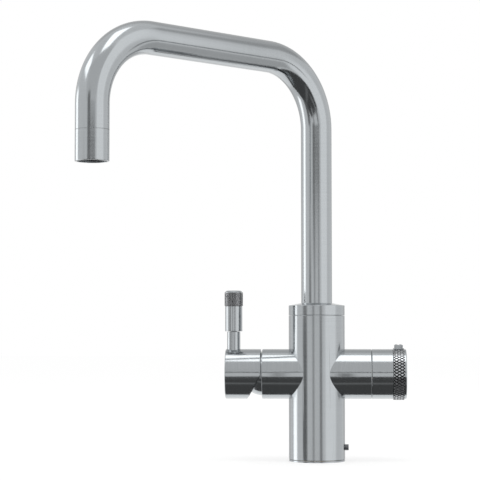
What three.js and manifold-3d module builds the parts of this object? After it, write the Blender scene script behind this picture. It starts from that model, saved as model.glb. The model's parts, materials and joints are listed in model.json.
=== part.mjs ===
// Boiling water tap for a kitchen sink. Millimetres, +Z up.
// Origin: the axis of the round body, on the worktop. +X runs along the right arm, which carries the
// boiling water handle; -X along the left arm, which carries the mixer; -Y is the user's side.
// It is built as it stands closed: lever upright, safety button on top, spout turned to the front left.

import * as THREE from 'three';
import { mergeVertices } from 'three/addons/utils/BufferGeometryUtils.js';
import Module from 'manifold-3d';

const wasm = await Module();
wasm.setup();

// ---------------------------------------------------------------- driving sizes

const GAP = 0.3; // between pieces that are fitted together
const OVER = 1; // cutting shapes run this far past the faces they open

// Body and its foot
const BODY_D = 50;
const BODY_TOP = 128.8;
const EDGE = 0.5; // chamfer on the body's and arms' outer edges
const BASE_RING_H = 1.5;
const BASE_RING_W = 6;
const GASKET_W = 2;
const GASKET_H = 0.9;
const FOOT_WALL = 2.7; // body wall round the foot insert
const FOOT_INSERT_H = 18;
const FOOT_INSERT_W = 3;
const FOOT_INSERT_SEAT = 2; // of it under the body's shoulder
const CAVITY_TOP = 36; // underside of the bulkhead that takes the hose tails
const CLAMP_Z = 12.2; // height of the body clamp screw
const CLAMP_HEAD_D = 5.4;
const CLAMP_HEAD_L = 3.1;
const CLAMP_SHANK_D = 3.8;
const CLAMP_GROOVE_DEPTH = 1.6;

// Hose tails and waterways
const WATERWAY_D = 5;
const SUPPLY_X = 9.5;
const SUPPLY_Y = 6.5;
const PORT_DROP = 3.1; // inlet ports below the arm's axis
const MIX_RISE = 7; // outlet port above the arm's axis
const RISER_X = 4; // the two waterways that climb to the spout
const TAIL_FOOT = 6;
const TAIL_D = 8.4;
const TAIL_BORE_D = 4.8;
const TAIL_FLANGE_D = 11;
const TAIL_FLANGE_H = 5.7;
const TAIL_THREAD_D = 7.6;
const TAIL_THREAD_L = 5;

// Arms
const ARM_D = 44.2;
const ARM_Z = 77.1;
const ARM_REACH = 48.5; // end face of each arm, from the body's axis
const BORE_FLOOR = 14; // inner end of the bores in both arms

// Mixer cartridge, from the bore's floor outwards
const CARTRIDGE_BORE_D = 37;
const CARTRIDGE_D = 35;
const CHAMBER_D = 30;
const PORT_SEAL_T = 1.3;
const PORT_PLATE_T = 3.6;
const DISC_T = 4;
const MOVING_DISC_D = 19;
const CARTRIDGE_SHOULDER_T = 1.4;
const CARTRIDGE_NECK_D = 25.2;
const CLAMP_NUT_T = 4.2;
const ROTOR_D = 20.2;
const ROTOR_FLANGE_T = 2.5;
const PIVOT_INSET = 0.5; // tilt pivot, inside the arm's end face
const NECK_NOSE = 5; // housing beyond the pivot
const ROTOR_NOSE = 6; // rotor beyond the pivot
const STEM_W = 6; // stem bar, across
const STEM_H = 6.5; // stem bar, up and down
const STEM_TAIL_D = 4;
const STEM_BALL_D = 6;
const TAIL_REACH = 12; // pivot to the ball's centre
const MIXER_TILT = 25; // degrees, over which the ball carries the moving disc
const DRIVER_D = 17;
const SOCKET_CUT = 0.5; // ball stands out of the driver's socket
const SLOT_H = 16.4; // room for the stem's tilt in the rotor
const PIN_D = 3;
const PIN_INSET = 0.5;
const DOME_WALL = 1.8;
const DOME_MOUTH_D = 28;

// Mixer handle
const HANDLE_SEAM = 1.2; // between the arm and the handle cap
const CAP_WALL = 1.9;
const DOME_GAP = 1.2; // running room between the cap and the dome
const CAP_FLOOR_GAP = 1;
const CAP_END_T = 13.2; // solid outer end of the cap
const CAP_ROUND = 1.3;
const BOSS_D = 11.6;
const BOSS_START = 11; // from the pivot
const STEM_HOLD = 6;
const RELIEF_START = 1; // below the axis
const RELIEF_LEAN = 28.2; // degrees from upright
const GRUB_D = 5;
const GRUB_L = 8;
const GRUB_INSET = 3.2;

// Lever, measured up from the arm's axis
const LEVER_INSET = 7; // from the cap's outer end
const LEVER_SEAT = 20.6;
const LEVER_STEM_D = 11.8;
const LEVER_STEM_TOP = 37.9;
const LEVER_THREAD_D = 6;
const LEVER_THREAD_L = 11.5;
const LEVER_CORE_D = 6.4;
const LEVER_CORE_TOP = 68;
const SLEEVE_D = 15.4;
const SLEEVE_TOP = 61.1;
const GRIP_D = 16.4;
const GRIP_TOP = 72.6;
const GRIP_CAP_TOP = 75;
const GRIP_CAP_BEVEL = 1.6;
const LEVER_EDGE = 0.4;

// Boiling water valve in the right arm, from the bore's floor outwards
const VALVE_BORE_D = 30;
const VALVE_SEAL_T = 1.3;
const VALVE_SEAL_W = 3;
const VALVE_WALL = 3.7;
const VALVE_DISC_T = 3;
const SPINDLE_FLANGE_T = 3.2;
const SPINDLE_FLANGE_D = 20;
const SPINDLE_D = 8.2;
const VALVE_SHOULDER_U = 40;
const VALVE_NECK_D = 16;
const VALVE_NECK_L = 6;
const LOCK_NUT_T = 4.7;

// Boiling water handle
const TURN_SEAM = 0.5; // between the arm and the handle's sleeve
const SHELL_WALL = 2;
const SLEEVE_LENGTH = 18.5;
const RING_D = 45.7;
const RING_L = 9.6;
const RING_EDGE = 0.4;
const END_CAP_D = 42.8;
const END_CAP_T = 1.6;
const END_CAP_ROUND = 1.2;
const PEG_L = 4.2;
const HUB_SETBACK = 3.5; // from the arm's end face
const HUB_BOSS_D = 16;
const HUB_RECESS_L = 8;
const HUB_RIM = 3.8;
const SPINDLE_HOLD = 12; // spindle inside the hub
const SCREW_D = 4;
const SCREW_BITE = 7;
const SCREW_HEAD_D = 8.8;
const SCREW_HEAD_T = 2.9;
const SCREW_SEAT_T = 5.7;

// Safety button and its spring, measured up from the arm's axis
const BUTTON_W = 7.5; // along the arm
const BUTTON_D = 8; // round the ring
const BUTTON_GAP = 0.25;
const BUTTON_TOP = 26.1;
const BUTTON_FOOT = 14;
const BUTTON_FLANGE_T = 2.2;
const BUTTON_FLANGE_W = 11;
const BUTTON_GROOVE = 0.7;
const POCKET_FLOOR = 8;
const SPRING_D = 4.6;
const SPRING_WIRE = 0.7;
const SPRING_TURNS = 4;

// Spout foot
const SPOUT_BORE_D = 36;
const SPOUT_BORE_DEPTH = 24.8;
const BEARING_H = 4;
const BEARING_T = 2.4;
const O_RING_WIRE = 3;
const O_RING_PITCH = 4.6;
const O_RING_SETBACK = 2.9; // first O-ring above the lower bearing
const SPIGOT_BORE_D = 20;
const SPIGOT_WEB_T = 4;
const SPIGOT_NOSE_L = 11;
const PASSAGE_WEB = 0.6; // metal round the water passages
const SWIVEL = 120; // degrees each way from straight ahead
const STOP_SCREW_D = 5;
const STOP_SCREW_DROP = 8; // below the body's top
const STOP_GROOVE_DEPTH = 3.4;

// Spout
const COLLAR_SEAM = 0.6;
const COLLAR_H = 8.6;
const COLLAR_CONE_H = 2.2;
const COLLAR_LEDGE = 1.9;
const COLLAR_SCREW_D = 3.6;
const TUBE_D = 27.6;
const TUBE_WALL = 1.5;
const SPOUT_AXIS_Z = 355.4;
const SPOUT_REACH = 251.8;
const BEND_R = 59.8;
const SPOUT_TURN = -44.16; // degrees from straight ahead, towards +X
const INNER_TUBE_D = 8;
const INNER_TUBE_WALL = 1.3;

// Outlet
const OUTLET_Z = 249.5;
const OUTLET_H = 25.1;
const OUTLET_NECK_L = 8;
const OUTLET_LIP = 1.8;
const OUTLET_RECESS = 17;
const OUTLET_BORE_D = 18;
const OUTLET_O_RING_WIRE = 1.6;
const CAGE_SETBACK = 1.2;
const CAGE_H = 11.8;
const CAGE_WALL = 1.8;
const INSERT_SETBACK = 1;
const INSERT_T = 3.8;
const INSERT_HOLE_D = 3;
const INSERT_HOLES = 8;
const AERATOR_SEAL_T = 2;
const AERATOR_SEAL_W = 3.7;

// Facets
const BODY_SIDES = 32;
const ARM_SIDES = 24;
const TUBE_SIDES = 20;
const MID_SIDES = 16;
const SMALL_SIDES = 10;
const O_RING_SIDES = 6;
const WIRE_SIDES = 5;
const WIRE_STEPS = 8; // in one turn of the spring
const BEND_STEPS = 8;
const GROOVE_STEPS = 18;
const ROUND_STEPS = 3;
const DOME_STEPS = 4;

// ---------------------------------------------------------------- places worked out from the sizes

const bodyR = BODY_D / 2;
const armR = ARM_D / 2;
const bodyFoot = BASE_RING_H + GAP;
const footBoreR = bodyR - FOOT_WALL;
const footInsertTop = bodyFoot + FOOT_INSERT_H;
const cavityR = footBoreR - GAP - FOOT_INSERT_SEAT;
const waterwayR = WATERWAY_D / 2;

const pivotU = ARM_REACH - PIVOT_INSET;
const domeR = armR - CAP_WALL - DOME_GAP;
const capStartU = ARM_REACH + HANDLE_SEAM;
const capFloorU = pivotU + domeR + CAP_FLOOR_GAP;
const capEndU = capFloorU + CAP_END_T;
const leverU = capEndU - LEVER_INSET;

const shellR = armR - SHELL_WALL;
const sleeveStartU = ARM_REACH + TURN_SEAM;
const ringStartU = sleeveStartU + SLEEVE_LENGTH + GAP;
const ringEndU = ringStartU + RING_L;
const endCapU = ringEndU + GAP;
const hubStartU = ARM_REACH + HUB_SETBACK;
const spindleEndU = hubStartU + SPINDLE_HOLD;
const screwSeatU = spindleEndU + GAP + SCREW_SEAT_T;
const pegStartU = endCapU - PEG_L;
const buttonU = (ringStartU + ringEndU) / 2;

const spoutBoreR = SPOUT_BORE_D / 2;
const spoutFloorZ = BODY_TOP - SPOUT_BORE_DEPTH;
const bearingOuterR = spoutBoreR - GAP;
const bearingInnerR = bearingOuterR - BEARING_T;
const journalR = bearingInnerR - GAP;
const upperBearingZ = BODY_TOP - GAP - BEARING_H;
const collarFootZ = BODY_TOP + COLLAR_SEAM;
const tubeFootZ = collarFootZ + COLLAR_LEDGE;
const stopScrewZ = BODY_TOP - STOP_SCREW_DROP;
const tubeR = TUBE_D / 2;
const tubeBoreR = tubeR - TUBE_WALL;
const collarScrewZ = (tubeFootZ + collarFootZ + COLLAR_H) / 2;

// ---------------------------------------------------------------- finishes

const FINISH = {
  brushedSteel: { color: 0xb4b8b8, roughness: 0.3, metalness: 1 },
  knurledSteel: { color: 0x8d9092, roughness: 0.38, metalness: 1 },
  darkSteel: { color: 0x5b5d60, roughness: 0.42, metalness: 1 },
  brass: { color: 0xc8a85a, roughness: 0.35, metalness: 1 },
  rubber: { color: 0x1b1b1c, roughness: 0.85, metalness: 0 },
  ceramic: { color: 0xe9e6df, roughness: 0.2, metalness: 0 },
  greyPlastic: { color: 0x6f7478, roughness: 0.5, metalness: 0 },
  whitePlastic: { color: 0xdfe0de, roughness: 0.5, metalness: 0 },
  silicone: { color: 0xd7d3c6, roughness: 0.6, metalness: 0 },
};

function piece(name, geometry, finish, parent) {
  const mesh = new THREE.Mesh(geometry, new THREE.MeshStandardMaterial(FINISH[finish]));
  mesh.name = name;
  parent.add(mesh);
  return mesh;
}

// ---------------------------------------------------------------- shapes

function circle(radius, sides) {
  const turn = (2 * Math.PI) / sides;
  return Array.from({ length: sides }, (_, i) =>
    new THREE.Vector2(radius * Math.cos(i * turn), radius * Math.sin(i * turn)));
}

// A profile of [radius, height] pairs turned about Z. It starts and ends on the axis, or is closed here.
function turned(profile, sides = MID_SIDES) {
  const points = profile.map(([radius, height]) => new THREE.Vector2(radius, height));
  if (profile[0][0] > 0) points.push(points[0].clone());
  return new THREE.LatheGeometry(points, sides).rotateX(Math.PI / 2);
}

function rod(radius, from, to, sides) {
  return turned([[0, from], [radius, from], [radius, to], [0, to]], sides);
}

function ring(inner, outer, from, to, sides) {
  return turned([[inner, from], [outer, from], [outer, to], [inner, to]], sides);
}

function block(width, depth, height, x = 0, y = 0, z = 0) {
  return new THREE.BoxGeometry(width, depth, height).translate(x, y, z);
}

// An O-ring: a round section turned about Z.
function torus(middle, wire, height, sides) {
  const section = circle(wire / 2, O_RING_SIDES).map((p) => [middle + p.x, height + p.y]);
  return turned(section, sides);
}

// A quarter of a round edge as profile points, from one angle to another about a centre.
function arcPoints(centreR, centreH, radius, fromDegrees, toDegrees, steps = ROUND_STEPS) {
  return Array.from({ length: steps + 1 }, (_, i) => {
    const angle = THREE.MathUtils.degToRad(fromDegrees + ((toDegrees - fromDegrees) * i) / steps);
    return [centreR + radius * Math.cos(angle), centreH + radius * Math.sin(angle)];
  });
}

function alongX(geometry) {
  return geometry.rotateY(Math.PI / 2);
}

function alongY(geometry) {
  return geometry.rotateX(-Math.PI / 2);
}

// ---------------------------------------------------------------- joining and cutting

const MERGE_DISTANCE = 1e-4;

function signedVolume(positions, corners) {
  const [a, b, c] = [new THREE.Vector3(), new THREE.Vector3(), new THREE.Vector3()];
  let sum = 0;
  for (let i = 0; i < corners.length; i += 3) {
    a.fromBufferAttribute(positions, corners[i]);
    b.fromBufferAttribute(positions, corners[i + 1]);
    c.fromBufferAttribute(positions, corners[i + 2]);
    sum += a.dot(b.cross(c)) / 6;
  }
  return sum;
}

// A closed three.js geometry as a solid whose faces point out.
function solid(geometry) {
  geometry.deleteAttribute('normal');
  geometry.deleteAttribute('uv');
  const merged = mergeVertices(geometry, MERGE_DISTANCE);
  const corners = [];
  for (let i = 0; i < merged.index.count; i += 3) {
    const [a, b, c] = [merged.index.getX(i), merged.index.getX(i + 1), merged.index.getX(i + 2)];
    if (a !== b && b !== c && c !== a) corners.push(a, b, c);
  }
  if (signedVolume(merged.attributes.position, corners) < 0) corners.reverse();
  return new wasm.Manifold(new wasm.Mesh({
    numProp: 3,
    vertProperties: new Float32Array(merged.attributes.position.array),
    triVerts: new Uint32Array(corners),
  }));
}

function toGeometry(shape) {
  const mesh = shape.getMesh();
  const geometry = new THREE.BufferGeometry();
  geometry.setAttribute('position', new THREE.BufferAttribute(mesh.vertProperties, 3));
  geometry.setIndex(new THREE.BufferAttribute(mesh.triVerts, 1));
  geometry.computeVertexNormals();
  return geometry;
}

// The first geometry with others joined on and then others cut away.
function carve(base, { join = [], cut = [] } = {}) {
  let shape = solid(base);
  for (const extra of join) shape = shape.add(solid(extra));
  for (const tool of cut) shape = shape.subtract(solid(tool));
  return toGeometry(shape);
}

// ---------------------------------------------------------------- groups

const tap = new THREE.Group();

// In an arm's group, Z runs outwards along the arm and X points up.
function armGroup(side) {
  const group = new THREE.Group();
  group.position.z = ARM_Z;
  group.rotation.set(0, (side * Math.PI) / 2, side > 0 ? Math.PI : 0);
  tap.add(group);
  return group;
}

const leftArm = armGroup(-1);
const rightArm = armGroup(1);

// In the spout's group, X runs outwards along the spout.
const spout = new THREE.Group();
spout.rotation.z = THREE.MathUtils.degToRad(SPOUT_TURN - 90);
tap.add(spout);

const outlet = new THREE.Group();
outlet.position.set(SPOUT_REACH, 0, OUTLET_Z);
spout.add(outlet);

// ---------------------------------------------------------------- body

// The hollow casting: round body, two arms, their bores and the waterways between them.
function mainBody() {
  const outside = turned([
    [0, bodyFoot], [bodyR - EDGE, bodyFoot], [bodyR, bodyFoot + EDGE],
    [bodyR, BODY_TOP - EDGE], [bodyR - EDGE, BODY_TOP], [0, BODY_TOP],
  ], BODY_SIDES);
  const arms = alongX(turned([
    [0, -ARM_REACH], [armR - EDGE, -ARM_REACH], [armR, -ARM_REACH + EDGE],
    [armR, ARM_REACH - EDGE], [armR - EDGE, ARM_REACH], [0, ARM_REACH],
  ], ARM_SIDES)).translate(0, 0, ARM_Z);

  const cuts = [
    rod(footBoreR, bodyFoot - OVER, footInsertTop + GAP, BODY_SIDES),
    rod(cavityR, footInsertTop, CAVITY_TOP, BODY_SIDES),
    rod(spoutBoreR, spoutFloorZ, BODY_TOP + OVER, BODY_SIDES),
    alongX(rod(CARTRIDGE_BORE_D / 2, -ARM_REACH - OVER, -BORE_FLOOR, ARM_SIDES)).translate(0, 0, ARM_Z),
    alongX(rod(VALVE_BORE_D / 2, BORE_FLOOR, ARM_REACH + OVER, ARM_SIDES)).translate(0, 0, ARM_Z),
    alongX(rod(CLAMP_SHANK_D / 2 + GAP, cavityR, bodyR + OVER, SMALL_SIDES)).translate(0, 0, CLAMP_Z),
    alongY(rod(STOP_SCREW_D / 2 + GAP, spoutBoreR - OVER, bodyR + OVER, SMALL_SIDES))
      .translate(0, 0, stopScrewZ),
  ];
  for (const side of [-1, 1]) {
    for (const y of [-SUPPLY_Y, SUPPLY_Y]) {
      cuts.push(
        rod(waterwayR, CAVITY_TOP, ARM_Z - PORT_DROP, SMALL_SIDES).translate(side * SUPPLY_X, y, 0),
        rod(TAIL_THREAD_D / 2 + GAP, CAVITY_TOP - OVER, CAVITY_TOP + TAIL_THREAD_L + GAP, SMALL_SIDES)
          .translate(side * SUPPLY_X, y, 0),
        armWaterway(side, SUPPLY_X, y, ARM_Z - PORT_DROP),
      );
    }
    cuts.push(
      armWaterway(side, RISER_X, 0, ARM_Z + MIX_RISE),
      rod(waterwayR, ARM_Z + MIX_RISE, spoutFloorZ + OVER, SMALL_SIDES).translate(side * RISER_X, 0, 0),
    );
  }
  return carve(outside, { join: [arms], cut: cuts });
}

function armWaterway(side, fromX, y, z) {
  const [start, end] = [fromX, BORE_FLOOR + OVER].map((x) => side * x);
  return alongX(rod(waterwayR, Math.min(start, end), Math.max(start, end), SMALL_SIDES)).translate(0, y, z);
}

function buildFoot() {
  const ringInnerR = bodyR - BASE_RING_W;
  const gasketMiddle = bodyR - BASE_RING_W / 2;
  const [gasketInner, gasketOuter] = [gasketMiddle - GASKET_W / 2, gasketMiddle + GASKET_W / 2];
  piece('base_ring', turned([
    [ringInnerR, 0], [gasketInner - GAP, 0], [gasketInner - GAP, GASKET_H + GAP],
    [gasketOuter + GAP, GASKET_H + GAP], [gasketOuter + GAP, 0], [bodyR - EDGE / 2, 0],
    [bodyR, EDGE / 2], [bodyR, BASE_RING_H], [ringInnerR, BASE_RING_H],
  ], BODY_SIDES), 'brushedSteel', tap);
  piece('base_gasket', ring(gasketInner, gasketOuter, 0, GASKET_H, BODY_SIDES), 'rubber', tap);

  const insertR = footBoreR - GAP;
  const grooveR = insertR - CLAMP_GROOVE_DEPTH;
  const grooveHalf = CLAMP_SHANK_D / 2 + GAP;
  piece('foot_insert', turned([
    [insertR - FOOT_INSERT_W, bodyFoot], [insertR, bodyFoot], [insertR, CLAMP_Z - grooveHalf],
    [grooveR, CLAMP_Z - grooveHalf], [grooveR, CLAMP_Z + grooveHalf], [insertR, CLAMP_Z + grooveHalf],
    [insertR, footInsertTop], [insertR - FOOT_INSERT_W, footInsertTop],
  ], BODY_SIDES), 'brass', tap);

  const headR = CLAMP_HEAD_D / 2;
  const clampScrew = piece('body_clamp_screw', turned([
    [0, grooveR + GAP], [CLAMP_SHANK_D / 2, grooveR + GAP], [CLAMP_SHANK_D / 2, bodyR + GAP],
    [headR, bodyR + GAP], [headR, bodyR + CLAMP_HEAD_L - EDGE],
    [headR - EDGE, bodyR + CLAMP_HEAD_L], [0, bodyR + CLAMP_HEAD_L],
  ], MID_SIDES), 'darkSteel', tap);
  clampScrew.rotation.y = Math.PI / 2;
  clampScrew.position.z = CLAMP_Z;
}

function hoseTail() {
  const boreR = TAIL_BORE_D / 2;
  const flangeTop = CAVITY_TOP - GAP;
  return turned([
    [boreR, TAIL_FOOT], [TAIL_D / 2, TAIL_FOOT], [TAIL_D / 2, flangeTop - TAIL_FLANGE_H],
    [TAIL_FLANGE_D / 2, flangeTop - TAIL_FLANGE_H], [TAIL_FLANGE_D / 2, flangeTop],
    [TAIL_THREAD_D / 2, flangeTop], [TAIL_THREAD_D / 2, CAVITY_TOP + TAIL_THREAD_L],
    [boreR, CAVITY_TOP + TAIL_THREAD_L],
  ], SMALL_SIDES);
}

function buildHoseTails() {
  const places = {
    hot_tail: [-SUPPLY_X, -SUPPLY_Y],
    cold_tail: [-SUPPLY_X, SUPPLY_Y],
    boiling_tail: [SUPPLY_X, -SUPPLY_Y],
    filtered_tail: [SUPPLY_X, SUPPLY_Y],
  };
  for (const [name, [x, y]] of Object.entries(places)) {
    piece(name, hoseTail(), 'brass', tap).position.set(x, y, 0);
  }
}

// ---------------------------------------------------------------- mixer cartridge

// Ports through a disc that lies against the bore's floor: two inlets below the axis, one outlet above.
function portHoles(from, to) {
  return [[-PORT_DROP, -SUPPLY_Y], [-PORT_DROP, SUPPLY_Y], [MIX_RISE, 0]]
    .map(([up, across]) => rod(waterwayR, from - OVER, to + OVER, SMALL_SIDES).translate(up, across, 0));
}

function portedDisc(radius, from, to) {
  return carve(rod(radius, from, to, MID_SIDES), { cut: portHoles(from, to) });
}

const chamberR = CHAMBER_D / 2;
const cartridgeR = CARTRIDGE_D / 2;
const rotorR = ROTOR_D / 2;
const portPlateU = BORE_FLOOR + GAP + PORT_SEAL_T + GAP;
const fixedDiscU = portPlateU + PORT_PLATE_T + GAP;
const movingDiscU = fixedDiscU + DISC_T + GAP;
const driverU = movingDiscU + DISC_T + GAP;
const ballU = pivotU - TAIL_REACH;
const driverEndU = ballU + STEM_BALL_D / 2 - SOCKET_CUT;
const rotorStartU = driverEndU + GAP;
const chamberEndU = rotorStartU + ROTOR_FLANGE_T + GAP;
const shoulderU = chamberEndU + CARTRIDGE_SHOULDER_T;
const clampNutU = shoulderU + GAP;

// The moving disc starts below the axis by half of what the tail's ball carries it up over the tilt.
const discDrop = (TAIL_REACH * THREE.MathUtils.degToRad(MIXER_TILT)) / 2;

function buildCartridge() {
  piece('port_seal', portedDisc(cartridgeR, BORE_FLOOR + GAP, BORE_FLOOR + GAP + PORT_SEAL_T),
    'rubber', leftArm);
  piece('cartridge_base', portedDisc(cartridgeR, portPlateU, portPlateU + PORT_PLATE_T),
    'greyPlastic', leftArm);
  piece('fixed_disc', portedDisc(chamberR - GAP, fixedDiscU, fixedDiscU + DISC_T), 'ceramic', leftArm);

  const neckR = CARTRIDGE_NECK_D / 2;
  piece('cartridge_housing', turned([
    [chamberR, fixedDiscU], [cartridgeR, fixedDiscU], [cartridgeR, shoulderU], [neckR, shoulderU],
    [neckR, pivotU + NECK_NOSE], [rotorR + GAP, pivotU + NECK_NOSE], [rotorR + GAP, chamberEndU],
    [chamberR, chamberEndU],
  ], ARM_SIDES), 'greyPlastic', leftArm);

  const clampNutR = CARTRIDGE_BORE_D / 2 - GAP;
  piece('clamp_nut', ring(neckR + GAP, clampNutR, clampNutU, clampNutU + CLAMP_NUT_T, ARM_SIDES),
    'brass', leftArm);

  piece('moving_disc', rod(MOVING_DISC_D / 2, movingDiscU, movingDiscU + DISC_T, MID_SIDES),
    'ceramic', leftArm).position.x = -discDrop;
  const socketR = STEM_BALL_D / 2 + 2 * GAP;
  const socketFloor = ballU - STEM_BALL_D / 2 - GAP;
  piece('disc_driver', turned([
    [0, driverU], [DRIVER_D / 2, driverU], [DRIVER_D / 2, driverEndU],
    [socketR, driverEndU], [socketR, socketFloor], [0, socketFloor],
  ], MID_SIDES), 'whitePlastic', leftArm);
}

function cartridgeRotor() {
  const flangeR = chamberR - GAP;
  const noseU = pivotU + ROTOR_NOSE;
  const outside = turned([
    [0, rotorStartU], [flangeR, rotorStartU], [flangeR, rotorStartU + ROTOR_FLANGE_T],
    [rotorR, rotorStartU + ROTOR_FLANGE_T], [rotorR, noseU], [0, noseU],
  ], ARM_SIDES);
  const slotL = noseU - rotorStartU + 2 * OVER;
  const slot = block(SLOT_H, STEM_W + 2 * GAP, slotL, 0, 0, (noseU + rotorStartU) / 2);
  const pinHole = alongY(rod(PIN_D / 2 + GAP, -rotorR - OVER, rotorR + OVER, SMALL_SIDES))
    .translate(0, 0, pivotU);
  return carve(outside, { cut: [slot, pinHole] });
}

function cartridgeStem() {
  const barStart = pivotU - STEM_H / 2;
  const barEnd = capFloorU + STEM_HOLD;
  const bar = block(STEM_H, STEM_W, barEnd - barStart, 0, 0, (barStart + barEnd) / 2);
  const tail = rod(STEM_TAIL_D / 2, ballU, barStart + OVER, SMALL_SIDES);
  const ball = new THREE.SphereGeometry(STEM_BALL_D / 2, SMALL_SIDES, SMALL_SIDES).translate(0, 0, ballU);
  const pinHole = alongY(rod(PIN_D / 2 + GAP, -STEM_W, STEM_W, SMALL_SIDES)).translate(0, 0, pivotU);
  return carve(bar, { join: [tail, ball], cut: [pinHole] });
}

// The domed trim that shows in the handle's relief: a sphere about the tilt pivot, open in the middle.
function trimDome() {
  const seatU = ARM_REACH + GAP;
  const spigotStart = clampNutU + CLAMP_NUT_T + GAP;
  const spigotR = CARTRIDGE_BORE_D / 2 - GAP;
  const innerR = domeR - DOME_WALL;
  const mouthR = DOME_MOUTH_D / 2;
  const degrees = THREE.MathUtils.radToDeg;
  const [outerFrom, outerTo] = [Math.asin((seatU - pivotU) / domeR), Math.acos(mouthR / domeR)];
  const [innerFrom, innerTo] = [Math.asin((seatU - pivotU) / innerR), Math.acos(mouthR / innerR)];
  return turned([
    [spigotR - DOME_WALL, spigotStart], [spigotR, spigotStart], [spigotR, seatU],
    ...arcPoints(0, pivotU, domeR, degrees(outerFrom), degrees(outerTo), DOME_STEPS),
    ...arcPoints(0, pivotU, innerR, degrees(innerTo), degrees(innerFrom), DOME_STEPS),
    [spigotR - DOME_WALL, seatU],
  ], ARM_SIDES);
}

// ---------------------------------------------------------------- mixer handle

function handleCap() {
  const cavityRadius = armR - CAP_WALL;
  const outside = turned([
    [0, capStartU], [armR - EDGE, capStartU], [armR, capStartU + EDGE],
    ...arcPoints(armR - CAP_ROUND, capEndU - CAP_ROUND, CAP_ROUND, 0, 90), [0, capEndU],
  ], ARM_SIDES);
  const cavity = rod(cavityRadius, capStartU - OVER, capFloorU, ARM_SIDES);
  const boss = rod(BOSS_D / 2, pivotU + BOSS_START, capFloorU + OVER, MID_SIDES);
  const socketStart = pivotU + BOSS_START - OVER;
  const socketEnd = capFloorU + STEM_HOLD + GAP;
  const socket = block(STEM_H + 2 * GAP, STEM_W + 2 * GAP, socketEnd - socketStart,
    0, 0, (socketStart + socketEnd) / 2);

  const seat = alongX(rod(LEVER_STEM_D / 2 + GAP, LEVER_SEAT, armR + OVER, MID_SIDES))
    .translate(0, 0, leverU);
  const thread = alongX(rod(LEVER_THREAD_D / 2 + GAP, LEVER_SEAT - LEVER_THREAD_L, LEVER_SEAT + OVER,
    SMALL_SIDES)).translate(0, 0, leverU);
  const grubHole = alongX(rod(GRUB_D / 2 + GAP, -armR - OVER, -STEM_H / 2, SMALL_SIDES))
    .translate(0, 0, capFloorU + GRUB_INSET);

  const shell = solid(outside).subtract(solid(cavity)).subtract(solid(relief())).add(solid(boss));
  const holes = [socket, seat, thread, grubHole];
  return toGeometry(holes.reduce((shape, hole) => shape.subtract(solid(hole)), shell));
}

// The slanted relief under the handle: everything below the axis and inboard of a leaning plane.
function relief() {
  const lean = THREE.MathUtils.degToRad(RELIEF_LEAN);
  const depth = armR + OVER;
  const outline = new THREE.Shape([
    new THREE.Vector2(-RELIEF_START, capStartU - OVER),
    new THREE.Vector2(-RELIEF_START, capStartU),
    new THREE.Vector2(-depth, capStartU + (depth - RELIEF_START) * Math.tan(lean)),
    new THREE.Vector2(-depth, capStartU - OVER),
  ]);
  return new THREE.ExtrudeGeometry(outline, { depth: 2 * depth, bevelEnabled: false })
    .rotateX(Math.PI / 2).translate(0, depth, 0);
}

function buildMixerHandle() {
  piece('cartridge_rotor', cartridgeRotor(), 'whitePlastic', leftArm);
  const pinHalf = rotorR - PIN_INSET;
  const pin = piece('stem_pivot_pin', rod(PIN_D / 2, -pinHalf, pinHalf, SMALL_SIDES), 'darkSteel', leftArm);
  pin.rotation.x = -Math.PI / 2;
  pin.position.z = pivotU;
  piece('cartridge_stem', cartridgeStem(), 'brass', leftArm);
  piece('trim_dome', trimDome(), 'brushedSteel', leftArm);
  piece('handle_cap', handleCap(), 'brushedSteel', leftArm);

  const grub = piece('handle_grub_screw', rod(GRUB_D / 2, 0, GRUB_L, SMALL_SIDES), 'darkSteel', leftArm);
  grub.rotation.y = -Math.PI / 2;
  grub.position.set(-STEM_H / 2 - GAP, 0, capFloorU + GRUB_INSET);

  buildLever();
}

function buildLever() {
  const lever = new THREE.Group();
  lever.rotation.y = Math.PI / 2;
  lever.position.z = leverU;
  leftArm.add(lever);

  const coreR = LEVER_CORE_D / 2;
  const stemR = LEVER_STEM_D / 2;
  const threadR = LEVER_THREAD_D / 2;
  piece('lever_stem', turned([
    [0, LEVER_SEAT - LEVER_THREAD_L + GAP], [threadR, LEVER_SEAT - LEVER_THREAD_L + GAP],
    [threadR, LEVER_SEAT + GAP], [stemR, LEVER_SEAT + GAP], [stemR, LEVER_STEM_TOP - GAP],
    [coreR, LEVER_STEM_TOP - GAP], [coreR, LEVER_CORE_TOP], [0, LEVER_CORE_TOP],
  ], MID_SIDES), 'brushedSteel', lever);
  piece('lever_sleeve', roundedTube(coreR + GAP, SLEEVE_D / 2, LEVER_STEM_TOP, SLEEVE_TOP - GAP),
    'brushedSteel', lever);
  piece('lever_grip', roundedTube(coreR + GAP, GRIP_D / 2, SLEEVE_TOP, GRIP_TOP - GAP),
    'knurledSteel', lever);
  const gripR = GRIP_D / 2;
  piece('grip_cap', turned([
    [0, LEVER_CORE_TOP + GAP], [coreR, LEVER_CORE_TOP + GAP], [coreR, GRIP_TOP], [gripR, GRIP_TOP],
    [gripR - GRIP_CAP_BEVEL, GRIP_CAP_TOP], [0, GRIP_CAP_TOP],
  ], MID_SIDES), 'brushedSteel', lever);
}

// A tube about Z with a small chamfer on both outer edges.
function roundedTube(inner, outer, from, to) {
  return turned([
    [inner, from], [outer - LEVER_EDGE, from], [outer, from + LEVER_EDGE],
    [outer, to - LEVER_EDGE], [outer - LEVER_EDGE, to], [inner, to],
  ], MID_SIDES);
}

// ---------------------------------------------------------------- boiling water valve

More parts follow.
